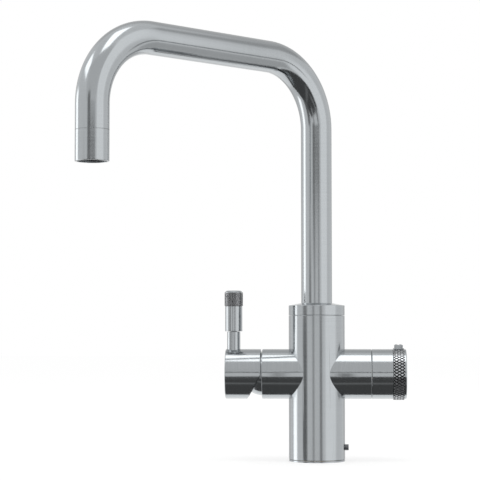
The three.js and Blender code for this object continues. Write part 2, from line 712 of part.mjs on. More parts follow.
const valveBodyU = BORE_FLOOR + GAP + VALVE_SEAL_T + GAP;
const valveOuterR = VALVE_BORE_D / 2 - GAP;
const valveInnerR = valveOuterR - VALVE_WALL;
const valveFixedU = valveBodyU + GAP;
const valveMovingU = valveFixedU + VALVE_DISC_T + GAP;
const spindleU = valveMovingU + VALVE_DISC_T + GAP;
const spindleR = SPINDLE_D / 2;

function buildValve() {
  piece('valve_seal', ring(valveOuterR - VALVE_SEAL_W, valveOuterR, BORE_FLOOR + GAP,
    BORE_FLOOR + GAP + VALVE_SEAL_T, MID_SIDES), 'rubber', rightArm);

  const neckR = VALVE_NECK_D / 2;
  const valveChamberEnd = spindleU + SPINDLE_FLANGE_T + GAP;
  const neckEnd = VALVE_SHOULDER_U + VALVE_NECK_L;
  piece('valve_body', turned([
    [valveInnerR, valveBodyU], [valveOuterR, valveBodyU], [valveOuterR, VALVE_SHOULDER_U],
    [neckR, VALVE_SHOULDER_U], [neckR, neckEnd], [spindleR + GAP, neckEnd],
    [spindleR + GAP, valveChamberEnd], [valveInnerR, valveChamberEnd],
  ], ARM_SIDES), 'brass', rightArm);
  piece('valve_lock_nut', ring(neckR + GAP, valveOuterR, VALVE_SHOULDER_U + GAP,
    VALVE_SHOULDER_U + GAP + LOCK_NUT_T, ARM_SIDES), 'brass', rightArm);
  piece('valve_fixed_disc', portedDisc(valveInnerR - GAP, valveFixedU, valveFixedU + VALVE_DISC_T),
    'ceramic', rightArm);

  const movingR = valveInnerR - 2 * GAP;
  const window = block(movingR, 2 * (movingR + OVER), VALVE_DISC_T + 2 * OVER,
    movingR, 0, valveMovingU + VALVE_DISC_T / 2);
  piece('valve_moving_disc', carve(
    rod(movingR, valveMovingU, valveMovingU + VALVE_DISC_T, MID_SIDES), { cut: [window] },
  ), 'ceramic', rightArm);

  const flangeR = Math.min(SPINDLE_FLANGE_D / 2, movingR);
  piece('valve_spindle', turned([
    [0, spindleU], [flangeR, spindleU], [flangeR, spindleU + SPINDLE_FLANGE_T],
    [spindleR, spindleU + SPINDLE_FLANGE_T], [spindleR, spindleEndU],
    [SCREW_D / 2 + GAP, spindleEndU], [SCREW_D / 2 + GAP, spindleEndU - SCREW_BITE - GAP],
    [0, spindleEndU - SCREW_BITE - GAP],
  ], MID_SIDES), 'brass', rightArm);
}

// ---------------------------------------------------------------- boiling water handle

// A slot for the button, from one height to another above the axis.
function buttonSlot(across, from, to, endU) {
  const startU = buttonU - BUTTON_W / 2 - BUTTON_GAP;
  return block(to - from, across + 2 * BUTTON_GAP, endU - startU, (from + to) / 2, 0, (startU + endU) / 2);
}

function handleHub() {
  const hubR = shellR - GAP;
  const boreR = spindleR + GAP;
  const bossR = HUB_BOSS_D / 2;
  const headR = SCREW_HEAD_D / 2 + GAP;
  const hubEnd = ringEndU - GAP;
  const outside = turned([
    [boreR, hubStartU], [bossR, hubStartU], [bossR, hubStartU + HUB_RECESS_L],
    [hubR - HUB_RIM, hubStartU + HUB_RECESS_L], [hubR - HUB_RIM, hubStartU], [hubR, hubStartU],
    [hubR, hubEnd], [headR, hubEnd], [headR, screwSeatU], [SCREW_D / 2 + GAP, screwSeatU],
    [SCREW_D / 2 + GAP, spindleEndU + GAP], [boreR, spindleEndU + GAP],
  ], ARM_SIDES);
  return carve(outside, {
    cut: [buttonSlot(BUTTON_FLANGE_W, POCKET_FLOOR, hubR + OVER, hubEnd + OVER)],
  });
}

function knurledRing() {
  const outerR = RING_D / 2;
  const outside = turned([
    [shellR, ringStartU], [outerR - RING_EDGE, ringStartU], [outerR, ringStartU + RING_EDGE],
    [outerR, ringEndU - RING_EDGE], [outerR - RING_EDGE, ringEndU], [shellR, ringEndU],
  ], BODY_SIDES);
  const slotEnd = buttonU + BUTTON_W / 2 + BUTTON_GAP;
  return carve(outside, { cut: [buttonSlot(BUTTON_D, shellR / 2, outerR + OVER, slotEnd)] });
}

function safetyButton() {
  const height = BUTTON_TOP - BUTTON_FOOT;
  const column = block(height, BUTTON_D, BUTTON_W, BUTTON_FOOT + height / 2, 0, 0);
  const flange = block(BUTTON_FLANGE_T, BUTTON_FLANGE_W, BUTTON_W, BUTTON_FOOT + BUTTON_FLANGE_T / 2, 0, 0);
  const groove = new THREE.CylinderGeometry(BUTTON_GROOVE, BUTTON_GROOVE, BUTTON_D + 2 * OVER, SMALL_SIDES)
    .translate(BUTTON_TOP, 0, 0);
  return carve(column, { join: [flange], cut: [groove] });
}

class Helix extends THREE.Curve {
  constructor(radius, height, turns) {
    super();
    Object.assign(this, { radius, height, turns });
  }

  getPoint(t, target = new THREE.Vector3()) {
    const angle = 2 * Math.PI * this.turns * t;
    return target.set(this.height * t, this.radius * Math.cos(angle), this.radius * Math.sin(angle));
  }
}

function buttonSpring() {
  const wireR = SPRING_WIRE / 2;
  const height = BUTTON_FOOT - POCKET_FLOOR - 2 * GAP - SPRING_WIRE;
  const path = new Helix(SPRING_D / 2 - wireR, height, SPRING_TURNS);
  const section = new THREE.Shape(circle(wireR, WIRE_SIDES));
  return new THREE.ExtrudeGeometry(section, { steps: SPRING_TURNS * WIRE_STEPS, extrudePath: path })
    .translate(POCKET_FLOOR + GAP + wireR, 0, 0);
}

function buildBoilingHandle() {
  piece('handle_hub', handleHub(), 'greyPlastic', rightArm);
  piece('handle_sleeve', turned([
    [shellR, sleeveStartU], [armR - EDGE, sleeveStartU], [armR, sleeveStartU + EDGE],
    [armR, sleeveStartU + SLEEVE_LENGTH], [shellR, sleeveStartU + SLEEVE_LENGTH],
  ], ARM_SIDES), 'brushedSteel', rightArm);
  piece('knurled_ring', knurledRing(), 'knurledSteel', rightArm);

  const capR = END_CAP_D / 2;
  const pegR = SCREW_HEAD_D / 2;
  const capEnd = endCapU + END_CAP_T;
  piece('end_cap', turned([
    [0, pegStartU], [pegR, pegStartU], [pegR, endCapU], [capR, endCapU],
    ...arcPoints(capR - END_CAP_ROUND, capEnd - END_CAP_ROUND, END_CAP_ROUND, 0, 90), [0, capEnd],
  ], ARM_SIDES), 'brushedSteel', rightArm);

  const headU = screwSeatU + GAP;
  piece('hub_screw', turned([
    [0, spindleEndU - SCREW_BITE], [SCREW_D / 2, spindleEndU - SCREW_BITE], [SCREW_D / 2, headU],
    [SCREW_HEAD_D / 2, headU], [SCREW_HEAD_D / 2, headU + SCREW_HEAD_T], [0, headU + SCREW_HEAD_T],
  ], SMALL_SIDES), 'darkSteel', rightArm);

  piece('safety_button', safetyButton(), 'knurledSteel', rightArm).position.z = buttonU;
  piece('button_spring', buttonSpring(), 'darkSteel', rightArm).position.z = buttonU;
}

// ---------------------------------------------------------------- spout foot

const spigotR = spoutBoreR - 2 * GAP;
const spigotStepLow = spoutFloorZ + GAP + BEARING_H + GAP;
const spigotStepHigh = upperBearingZ - GAP;
const oRingMiddle = spoutBoreR - GAP - O_RING_WIRE / 2;
const oRingHeights = [0, 1].map((i) => spigotStepLow + O_RING_SETBACK + i * O_RING_PITCH);

// Part of a ring between two angles, for the groove in which the retaining screw runs.
function ringSector(inner, outer, fromAngle, toAngle, from, to) {
  const arc = (radius, start, end) => Array.from({ length: GROOVE_STEPS + 1 }, (_, i) => {
    const angle = start + ((end - start) * i) / GROOVE_STEPS;
    return new THREE.Vector2(radius * Math.cos(angle), radius * Math.sin(angle));
  });
  const outline = new THREE.Shape([...arc(outer, fromAngle, toAngle), ...arc(inner, toAngle, fromAngle)]);
  return new THREE.ExtrudeGeometry(outline, { depth: to - from, bevelEnabled: false })
    .translate(0, 0, from);
}

function spoutSpigot() {
  const footZ = spoutFloorZ + 2 * GAP;
  const boreR = SPIGOT_BORE_D / 2;
  const webTop = footZ + SPIGOT_WEB_T;
  const shoulderZ = tubeFootZ - GAP;
  const noseR = tubeBoreR - GAP;
  const grooveFloor = oRingMiddle - O_RING_WIRE / 2 - GAP;
  const grooveHalf = O_RING_WIRE / 2 + GAP;
  const outside = turned([
    [0, footZ], [journalR, footZ], [journalR, spigotStepLow], [spigotR, spigotStepLow],
    ...oRingHeights.flatMap((z) => [
      [spigotR, z - grooveHalf], [grooveFloor, z - grooveHalf],
      [grooveFloor, z + grooveHalf], [spigotR, z + grooveHalf],
    ]),
    [spigotR, spigotStepHigh], [journalR, spigotStepHigh], [journalR, shoulderZ], [noseR, shoulderZ],
    [noseR, tubeFootZ + SPIGOT_NOSE_L], [boreR, tubeFootZ + SPIGOT_NOSE_L], [boreR, webTop], [0, webTop],
  ], ARM_SIDES);

  const stopR = STOP_SCREW_D / 2 + GAP;
  const grooveR = spigotR - STOP_GROOVE_DEPTH;
  const half = THREE.MathUtils.degToRad(SWIVEL) + Math.asin(stopR / grooveR);
  const stopGroove = ringSector(grooveR, spigotR + OVER, Math.PI - half, Math.PI + half,
    stopScrewZ - stopR, stopScrewZ + stopR);

  const tubeHoleR = INNER_TUBE_D / 2 + GAP;
  const innerTubeHole = rod(tubeHoleR, footZ - OVER, webTop + OVER, SMALL_SIDES);
  const passageR = (boreR - tubeHoleR) / 2 - PASSAGE_WEB;
  const passageMiddle = (boreR + tubeHoleR) / 2;
  const passages = [45, 135, 225, 315].map((degrees) => {
    const angle = THREE.MathUtils.degToRad(degrees);
    return rod(passageR, footZ - OVER, webTop + OVER, SMALL_SIDES)
      .translate(passageMiddle * Math.cos(angle), passageMiddle * Math.sin(angle), 0);
  });
  return carve(outside, { cut: [stopGroove, innerTubeHole, ...passages] });
}

function buildSpoutFoot() {
  const lowerZ = spoutFloorZ + GAP;
  piece('lower_bearing', ring(bearingInnerR, bearingOuterR, lowerZ, lowerZ + BEARING_H, ARM_SIDES),
    'whitePlastic', tap);
  piece('upper_bearing', ring(bearingInnerR, bearingOuterR, upperBearingZ, upperBearingZ + BEARING_H,
    ARM_SIDES), 'whitePlastic', tap);

  piece('spout_spigot', spoutSpigot(), 'brass', spout);
  piece('lower_o_ring', torus(oRingMiddle, O_RING_WIRE, oRingHeights[0], ARM_SIDES), 'rubber', spout);
  piece('upper_o_ring', torus(oRingMiddle, O_RING_WIRE, oRingHeights[1], ARM_SIDES), 'rubber', spout);

  const tipR = spigotR - STOP_GROOVE_DEPTH + GAP;
  const stopScrew = piece('spout_retaining_screw', rod(STOP_SCREW_D / 2, tipR, bodyR - EDGE, SMALL_SIDES),
    'darkSteel', tap);
  stopScrew.rotation.x = -Math.PI / 2;
  stopScrew.position.z = stopScrewZ;
}

// ---------------------------------------------------------------- spout

// A curve that is sampled at set stations: one per straight end, several round each bend.
class StationCurve extends THREE.Curve {
  constructor(stations) {
    super();
    this.stations = stations;
  }

  station(t) {
    return this.stations[Math.round(t * (this.stations.length - 1))];
  }

  getPoint(t) {
    return this.station(t).point.clone();
  }

  getTangent(t) {
    return this.station(t).heading.clone();
  }

  getUtoTmapping(u) {
    return u;
  }
}

// Stations of the spout's centreline: up, a quarter bend, out, a quarter bend, down.
function spoutStations(footZ, endZ) {
  const at = (x, z, headingX, headingZ) => ({
    point: new THREE.Vector3(x, 0, z),
    heading: new THREE.Vector3(headingX, 0, headingZ),
  });
  const bendZ = SPOUT_AXIS_Z - BEND_R;
  const bend = (centreX, startAngle) => Array.from({ length: BEND_STEPS + 1 }, (_, i) => {
    const angle = startAngle - (Math.PI / 2) * (i / BEND_STEPS);
    return at(centreX + BEND_R * Math.cos(angle), bendZ + BEND_R * Math.sin(angle),
      Math.sin(angle), -Math.cos(angle));
  });
  return [
    at(0, footZ, 0, 1),
    ...bend(BEND_R, Math.PI),
    ...bend(SPOUT_REACH - BEND_R, Math.PI / 2),
    at(SPOUT_REACH, endZ, 0, -1),
  ];
}

function bentTube(outer, inner, footZ, endZ, sides) {
  const stations = spoutStations(footZ, endZ);
  const section = new THREE.Shape(circle(outer, sides));
  section.holes.push(new THREE.Path(circle(inner, sides)));
  return new THREE.ExtrudeGeometry(section, {
    steps: stations.length - 1,
    extrudePath: new StationCurve(stations),
  });
}

function spoutCollar() {
  const boreR = tubeR + GAP;
  const topZ = collarFootZ + COLLAR_H;
  const outside = turned([
    [journalR + GAP, collarFootZ], [bodyR - EDGE, collarFootZ], [bodyR, collarFootZ + EDGE],
    [bodyR, topZ - EDGE / 2], [bodyR - EDGE / 2, topZ], [boreR, topZ + COLLAR_CONE_H],
    [boreR, tubeFootZ], [journalR + GAP, tubeFootZ],
  ], BODY_SIDES);
  const screwHole = alongX(rod(COLLAR_SCREW_D / 2 + GAP, -bodyR - OVER, -boreR + OVER, SMALL_SIDES))
    .translate(0, 0, collarScrewZ);
  return carve(outside, { cut: [screwHole] });
}

function buildSpout() {
  piece('spout_collar', spoutCollar(), 'brushedSteel', spout);
  const collarScrew = piece('collar_grub_screw',
    rod(COLLAR_SCREW_D / 2, tubeR + 2 * GAP, bodyR - EDGE, SMALL_SIDES), 'darkSteel', spout);
  collarScrew.rotation.y = -Math.PI / 2;
  collarScrew.position.z = collarScrewZ;

  const dropEnd = OUTLET_Z + OUTLET_H + GAP;
  piece('spout_tube', bentTube(tubeR, tubeBoreR, tubeFootZ, dropEnd, TUBE_SIDES), 'brushedSteel', spout);

  const innerEnd = OUTLET_Z + CAGE_SETBACK + INSERT_SETBACK + INSERT_T + GAP;
  const innerR = INNER_TUBE_D / 2;
  piece('inner_tube', bentTube(innerR, innerR - INNER_TUBE_WALL, spoutFloorZ + 3 * GAP, innerEnd,
    SMALL_SIDES), 'silicone', spout);
}

// ---------------------------------------------------------------- outlet

function buildOutlet() {
  const recessR = tubeR - OUTLET_LIP;
  const neckR = tubeBoreR - GAP;
  const boreR = OUTLET_BORE_D / 2;
  const neckTop = OUTLET_H + OUTLET_NECK_L;
  const ringMiddle = tubeBoreR - GAP - OUTLET_O_RING_WIRE / 2;
  const grooveFloor = ringMiddle - OUTLET_O_RING_WIRE / 2 - GAP;
  const grooveHalf = OUTLET_O_RING_WIRE / 2 + GAP;
  const ringH = OUTLET_H + OUTLET_NECK_L / 2;
  piece('outlet_housing', turned([
    [recessR, 0], [tubeR - EDGE, 0], [tubeR, EDGE], [tubeR, OUTLET_H], [neckR, OUTLET_H],
    [neckR, ringH - grooveHalf], [grooveFloor, ringH - grooveHalf],
    [grooveFloor, ringH + grooveHalf], [neckR, ringH + grooveHalf], [neckR, neckTop],
    [boreR, neckTop], [boreR, OUTLET_RECESS], [recessR, OUTLET_RECESS],
  ], MID_SIDES), 'brushedSteel', outlet);
  piece('outlet_o_ring', torus(ringMiddle, OUTLET_O_RING_WIRE, ringH, MID_SIDES), 'rubber', outlet);

  const cageR = recessR - GAP;
  const insertR = cageR - CAGE_WALL - GAP;
  const insertZ = CAGE_SETBACK + INSERT_SETBACK;
  piece('aerator_cage', ring(cageR - CAGE_WALL, cageR, CAGE_SETBACK, CAGE_SETBACK + CAGE_H, MID_SIDES),
    'darkSteel', outlet);
  piece('aerator_insert', aeratorInsert(insertR, insertZ), 'greyPlastic', outlet);
  const sealZ = CAGE_SETBACK + CAGE_H + GAP;
  piece('aerator_seal', ring(cageR - AERATOR_SEAL_W, cageR, sealZ, sealZ + AERATOR_SEAL_T, MID_SIDES),
    'rubber', outlet);
}

// A disc with a ring of jet holes round the mouth of the inner tube.
function aeratorInsert(radius, from) {
  const mouthR = INNER_TUBE_D / 2 - INNER_TUBE_WALL;
  const hole = (holeR) => rod(holeR, from - OVER, from + INSERT_T + OVER, SMALL_SIDES);
  const jets = Array.from({ length: INSERT_HOLES }, (_, i) =>
    hole(INSERT_HOLE_D / 2).translate((mouthR + radius) / 2, 0, 0)
      .rotateZ((2 * Math.PI * i) / INSERT_HOLES));
  return carve(rod(radius, from, from + INSERT_T, MID_SIDES), { cut: [hole(mouthR), ...jets] });
}

// ---------------------------------------------------------------- assembly

piece('main_body', mainBody(), 'brushedSteel', tap);
buildFoot();
buildHoseTails();
buildCartridge();
buildMixerHandle();
buildValve();
buildBoilingHandle();
buildSpoutFoot();
buildSpout();
buildOutlet();

export default tap;
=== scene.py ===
"""The looks of a brushed steel boiling water tap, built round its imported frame.

Shapes are worked out in millimetres in the row frame: +Z up, +X along the right arm, -Y the user's side.
"""

import json
import math

import bmesh
import bpy
from mathutils import Matrix, Vector


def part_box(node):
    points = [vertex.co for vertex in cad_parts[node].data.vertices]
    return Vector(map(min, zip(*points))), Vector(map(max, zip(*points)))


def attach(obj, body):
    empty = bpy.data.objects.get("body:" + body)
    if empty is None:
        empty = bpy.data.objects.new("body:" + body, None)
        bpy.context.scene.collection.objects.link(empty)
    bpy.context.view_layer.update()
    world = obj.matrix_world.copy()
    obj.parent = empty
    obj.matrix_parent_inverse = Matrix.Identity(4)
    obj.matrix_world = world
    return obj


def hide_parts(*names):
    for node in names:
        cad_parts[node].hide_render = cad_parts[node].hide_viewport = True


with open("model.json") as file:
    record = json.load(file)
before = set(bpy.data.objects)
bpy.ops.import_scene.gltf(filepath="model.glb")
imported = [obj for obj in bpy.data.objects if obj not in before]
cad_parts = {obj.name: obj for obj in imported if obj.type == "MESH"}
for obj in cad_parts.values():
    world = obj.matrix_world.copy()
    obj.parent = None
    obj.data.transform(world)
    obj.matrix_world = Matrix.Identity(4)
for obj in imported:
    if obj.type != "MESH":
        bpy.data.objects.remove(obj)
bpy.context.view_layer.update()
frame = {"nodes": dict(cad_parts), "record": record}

scene = bpy.context.scene

MM = 0.001
TINY = 1e-6


# ------------------------------------------------------------------ sizes

class NodeBox:
    """The corners of a CAD node at rest and the point between them, in millimetres."""

    def __init__(self, node):
        low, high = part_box(node)
        self.low = low / MM
        self.high = high / MM
        self.middle = (self.low + self.high) / 2


base_ring_box = NodeBox("base_ring")
body_box = NodeBox("main_body")
sleeve_box = NodeBox("handle_sleeve")
ring_box = NodeBox("knurled_ring")
end_cap_box = NodeBox("end_cap")
button_box = NodeBox("safety_button")
handle_box = NodeBox("handle_cap")
stem_box = NodeBox("lever_stem")
lever_sleeve_box = NodeBox("lever_sleeve")
grip_box = NodeBox("lever_grip")
grip_cap_box = NodeBox("grip_cap")
clamp_screw_box = NodeBox("body_clamp_screw")
stop_screw_box = NodeBox("spout_retaining_screw")
handle_grub_box = NodeBox("handle_grub_screw")
collar_grub_box = NodeBox("collar_grub_screw")
collar_box = NodeBox("spout_collar")
tube_box = NodeBox("spout_tube")
outlet_box = NodeBox("outlet_housing")
cage_box = NodeBox("aerator_cage")
insert_box = NodeBox("aerator_insert")

BODY_R = base_ring_box.high.x
BODY_FOOT = body_box.low.z
BODY_TOP = body_box.high.z
BODY_SEAM = BODY_TOP + 0.2
COLLAR_SEAM = BODY_SEAM + 0.25
SEAM_RIM_R = 22
SEAM_RIM_TOP = BODY_TOP + 1
ARM_REACH = body_box.high.x
ARM_R = sleeve_box.high.y
ARM_Z = sleeve_box.middle.z

FOOT_BORE_R = 22.3
FOOT_BORE_TOP = 20.1
CAVITY_R = 20
CAVITY_TOP = 36
SPOUT_BORE_R = 18
SPOUT_BORE_FLOOR = 104
CARTRIDGE_BORE_R = 18.5
VALVE_BORE_R = 15
ARM_BORE_FLOOR = 14

SPOUT_TURN = math.radians(-44.16 - 90)
SPOUT_REACH = 251.8
SPOUT_AXIS_Z = 355.4
BEND_R = 59.8
TUBE_R = 13.8
TUBE_BORE_R = 12.3
OUTLET_SEAM = outlet_box.low.z + 25.1

# diamonds around and along, how deep their grooves are, and the flat top's share of a diamond
RING_DIAMONDS, RING_DEPTH = (52, 2), 0.5
GRIP_DIAMONDS, GRIP_DEPTH = (60, 14), 0.12
SCREW_DIAMONDS, SCREW_DEPTH = (18, 3), 0.2
DIAMOND_TOP = 0.62

EDGE = 0.5
SOFT_EDGE = 0.3
FINE_EDGE = 0.2
CAP_EDGE = 0.7

# how far cutting shapes go past the surface that they open, and a hair's breadth that tells surfaces apart
PAST = 1
HAIR = 0.05

SEGMENTS = 128
SMALL_SEGMENTS = 64
BEND_STEPS = 48
DOME_STEPS = 24
ROUND_STEPS = 4
CAP_STEPS = 6
SHADE_GAP = 0.02
SMOOTH_ANGLE = math.radians(28)
KNURL_SMOOTH = math.radians(10)


# ------------------------------------------------------------------ camera

CAMERA_PLACE = Vector((0.01605, -1.443, 0.1153))
CAMERA_YAW = -0.0586
CAMERA_PITCH = 0.0564
CAMERA_SIGHT = 20
FOCAL_PIXELS = 1611.84
FRAME_PIXELS = 480
SENSOR_MM = 36


def make_camera():
    camera = bpy.data.objects.new("camera", bpy.data.cameras.new("camera"))
    scene.collection.objects.link(camera)
    camera.location = CAMERA_PLACE
    camera.rotation_euler = (math.pi / 2 + CAMERA_PITCH, 0, -CAMERA_YAW)
    camera.data.sensor_width = SENSOR_MM
    camera.data.sensor_height = SENSOR_MM
    camera.data.lens = FOCAL_PIXELS / FRAME_PIXELS * SENSOR_MM
    camera.data.clip_end = CAMERA_SIGHT
    scene.camera = camera


# ------------------------------------------------------------------ material nodes

# most of what a noise node gives, and the sockets of a Mix node that take and give colours
NOISE_SPAN = (0.3, 0.7)
MIX_COLOURS_IN = (6, 7)
MIX_COLOUR_OUT = 2

# the shares of a groove's depth between which the shade painted into it turns from dark to bright, and the
# darkest painted shade
PAINTED_GROOVE_FADE = (0.12, 0.05)
PAINTED_GROOVE_DARK = 0.05


class Nodes:
    """A material's node tree, with short ways to add to it."""

    def __init__(self, name):
        self.material = bpy.data.materials.new(name)
        self.material.use_nodes = True
        self.tree = self.material.node_tree
        self.tree.nodes.clear()
        self.output = self.tree.nodes.new("ShaderNodeOutputMaterial")

    def add(self, kind, **settings):
        node = self.tree.nodes.new(kind)
        for name, value in settings.items():
            setattr(node, name, value)
        return node

    def link(self, start, end):
        self.tree.links.new(start, end)

    def place_in_object(self):
        """The point that is shaded, in the object's own metres."""
        return self.add("ShaderNodeTexCoord").outputs["Object"]

    def calculated(self, operation, *values):
        """What a Math node makes of values, each a socket or a number."""
        node = self.add("ShaderNodeMath", operation=operation)
        for socket, value in zip(node.inputs, values):
            if isinstance(value, (int, float)):
                socket.default_value = value
            else:
                self.link(value, socket)
        return node.outputs["Value"]

    def noise(self, scale, detail, stretch=(1, 1, 1), source=None):
        """Noise over the object's own metres or another source, drawn out along axes with a small factor."""
        if source is None:
            source = self.place_in_object()
        mapping = self.add("ShaderNodeMapping")
        mapping.inputs["Scale"].default_value = [scale * factor for factor in stretch]
        texture = self.add("ShaderNodeTexNoise")
        texture.inputs["Scale"].default_value = 1
        texture.inputs["Detail"].default_value = detail
        self.link(source, mapping.inputs["Vector"])
        self.link(mapping.outputs["Vector"], texture.inputs["Vector"])
        return texture.outputs["Fac"]

    def spread(self, value, low, high, span=NOISE_SPAN, **settings):
        """A value over a span, mapped to low to high."""
        node = self.add("ShaderNodeMapRange", **settings)
        for name, number in zip(("From Min", "From Max", "To Min", "To Max"), (*span, low, high)):
            node.inputs[name].default_value = number
        self.link(value, node.inputs["Value"])
        return node.outputs["Result"]

    def tint(self, noise, low, high):
        """Noise turned into colours from low to high."""
        node = self.add("ShaderNodeValToRGB")
        for element, place, colour in zip(node.color_ramp.elements, NOISE_SPAN, (low, high)):
            element.position = place
            element.color = (*colour, 1)
        self.link(noise, node.inputs["Fac"])
        return node.outputs["Color"]

    def multiplied(self, *colours):
        """Two colours multiplied."""
        node = self.add("ShaderNodeMix", data_type="RGBA", blend_type="MULTIPLY")
        node.inputs["Factor"].default_value = 1
        for i, colour in zip(MIX_COLOURS_IN, colours):
            self.link(colour, node.inputs[i])
        return node.outputs[MIX_COLOUR_OUT]

    def painted_groove_shade(self, axis, centre, top, depth):
        """Painted shade: how dark a knurled part's grooves are, from how far they lie under its tops, in
        millimetres.
        """
        offset = self.add("ShaderNodeVectorMath", operation="SUBTRACT")
        offset.inputs[1].default_value = Vector(centre) * MM
        across = self.add("ShaderNodeVectorMath", operation="MULTIPLY")
        across.inputs[1].default_value = [0 if letter == axis else 1 for letter in "XYZ"]
        size = self.add("ShaderNodeVectorMath", operation="LENGTH")
        self.link(self.place_in_object(), offset.inputs[0])
        self.link(offset.outputs["Vector"], across.inputs[0])
        self.link(across.outputs["Vector"], size.inputs[0])
        span = [(top - share * depth) * MM for share in PAINTED_GROOVE_FADE]
        return self.spread(size.outputs["Value"], PAINTED_GROOVE_DARK, 1, span)

    def bump(self, height, distance):
        """Normals of a relief of so many metres."""
        node = self.add("ShaderNodeBump")
        node.inputs["Distance"].default_value = distance
        node.inputs["Strength"].default_value = 1
        self.link(height, node.inputs["Height"])
        return node.outputs["Normal"]

    def mixed(self, share, first, second):
        """A shader between two others."""
        node = self.add("ShaderNodeMixShader")
        for socket, value in zip(node.inputs, (share, first, second)):
            self.link(value, socket)
        return node.outputs["Shader"]

    def finished(self, shader):
        """The material, with this shader as its surface."""
        self.link(shader, self.output.inputs["Surface"])
        return self.material


def srgb(level):
    """A linear colour from one written as it looks on a screen."""
    return tuple(((c + 0.055) / 1.055) ** 2.4 if c > 0.04045 else c / 12.92 for c in level)


def shaded(colour, factor):
    """A linear colour from a screen colour made brighter or darker."""
    return srgb(tuple(c * factor for c in colour))


SWEEP_MAP = "sweep"

BRUSH_LINES = 5200
BRUSH_DETAIL = 2
BRUSH_SIDEWAYS = 0.006
BRUSH_STRETCH = {
    None: (1, 1, 1), "X": (1, BRUSH_SIDEWAYS, BRUSH_SIDEWAYS), "Z": (BRUSH_SIDEWAYS, BRUSH_SIDEWAYS, 1),
    "UV": (BRUSH_SIDEWAYS, 1, 1),
}
BRUSH_TONES = (0.975, 1.02)
BRUSH_ROUGHNESS = 0.02
BRUSH_DEPTH = 1.2e-6
BRUSH_ANISOTROPY = 0.25
QUARTER_TURN = 0.25

SMUDGE = 26
SMUDGE_DETAIL = 4
SMUDGE_COLOURS = ((0.97, 0.975, 0.975), (1, 1, 1))
SMUDGE_ROUGHNESS = (-0.012, 0.018)


def metal(name, colour, roughness, brush=None, grooves=None):
    """Brushed metal. brush is the axis that the lines run round, "UV" for a swept tube, or None.

    grooves are a knurled part's axis, centre, top radius and depth, for shade painted into its grooves.
    """
    nodes = Nodes(name)
    shader = nodes.add("ShaderNodeBsdfPrincipled")
    shader.inputs["Metallic"].default_value = 1
    source = nodes.add("ShaderNodeUVMap", uv_map=SWEEP_MAP).outputs["UV"] if brush == "UV" else None
    lines = nodes.noise(BRUSH_LINES, BRUSH_DETAIL, BRUSH_STRETCH[brush], source)
    smudge = nodes.noise(SMUDGE, SMUDGE_DETAIL)
    tone = nodes.tint(lines, *(shaded(colour, factor) for factor in BRUSH_TONES))
    base = nodes.multiplied(tone, nodes.tint(smudge, *SMUDGE_COLOURS))
    # painted shade: the knurl's grooves are darkened by their depth
    if grooves:
        base = nodes.multiplied(base, nodes.painted_groove_shade(*grooves))
    nodes.link(base, shader.inputs["Base Color"])
    fine = nodes.spread(lines, roughness - BRUSH_ROUGHNESS, roughness + BRUSH_ROUGHNESS)
    coarse = nodes.spread(smudge, *SMUDGE_ROUGHNESS)
    nodes.link(nodes.calculated("ADD", fine, coarse), shader.inputs["Roughness"])
    nodes.link(nodes.bump(lines, BRUSH_DEPTH), shader.inputs["Normal"])
    if brush:
        shader.inputs["Anisotropic"].default_value = BRUSH_ANISOTROPY
        shader.inputs["Anisotropic Rotation"].default_value = QUARTER_TURN
        if brush == "UV":
            tangent = nodes.add("ShaderNodeTangent", direction_type="UV_MAP", uv_map=SWEEP_MAP)
        else:
            tangent = nodes.add("ShaderNodeTangent", direction_type="RADIAL", axis=brush)
        nodes.link(tangent.outputs["Tangent"], shader.inputs["Tangent"])
    return nodes.finished(shader.outputs["BSDF"])


GRAIN = 900
GRAIN_DETAIL = 2
GRAIN_ROUGHNESS = 0.05
GRAIN_DEPTH = 1.5e-5
CLOUD = 60
CLOUD_DETAIL = 3
CLOUD_TONES = (0.94, 1)


def matte(name, colour, roughness, sheen=0.0, coat=0.0):
    """Plastic, rubber or ceramic with a fine grain."""
    nodes = Nodes(name)
    shader = nodes.add("ShaderNodeBsdfPrincipled")
    shader.inputs["Sheen Weight"].default_value = sheen
    shader.inputs["Coat Weight"].default_value = coat
    grain = nodes.noise(GRAIN, GRAIN_DETAIL)
    tone = nodes.tint(nodes.noise(CLOUD, CLOUD_DETAIL), *(shaded(colour, factor) for factor in CLOUD_TONES))
    nodes.link(tone, shader.inputs["Base Color"])
    nodes.link(nodes.spread(grain, roughness - GRAIN_ROUGHNESS, roughness + GRAIN_ROUGHNESS),
               shader.inputs["Roughness"])
    nodes.link(nodes.bump(grain, GRAIN_DEPTH), shader.inputs["Normal"])
    return nodes.finished(shader.outputs["BSDF"])


# ------------------------------------------------------------------ materials

STEEL = (0.665, 0.680, 0.690)
# the knurl's steel is brighter than the plain steel, to balance the shade painted into its grooves
KNURL_STEEL = (0.76, 0.77, 0.78)
GRIP_STEEL = (0.68, 0.685, 0.695)
DARK_STEEL = (0.36, 0.365, 0.375)
SCREW_STEEL = (0.6, 0.605, 0.615)
BRASS = (0.80, 0.68, 0.40)
RUBBER = (0.10, 0.10, 0.105)
CERAMIC = (0.90, 0.89, 0.86)
GREY_PLASTIC = (0.42, 0.44, 0.46)
WHITE_PLASTIC = (0.86, 0.87, 0.86)
SILICONE = (0.82, 0.81, 0.76)

# where shade is painted into the knurled ring's and the grip's grooves
RING_GROOVES = ("X", (0, 0, ARM_Z), ring_box.high.y, RING_DEPTH)
GRIP_GROOVES = ("Z", stem_box.middle, grip_box.high.y, GRIP_DEPTH)

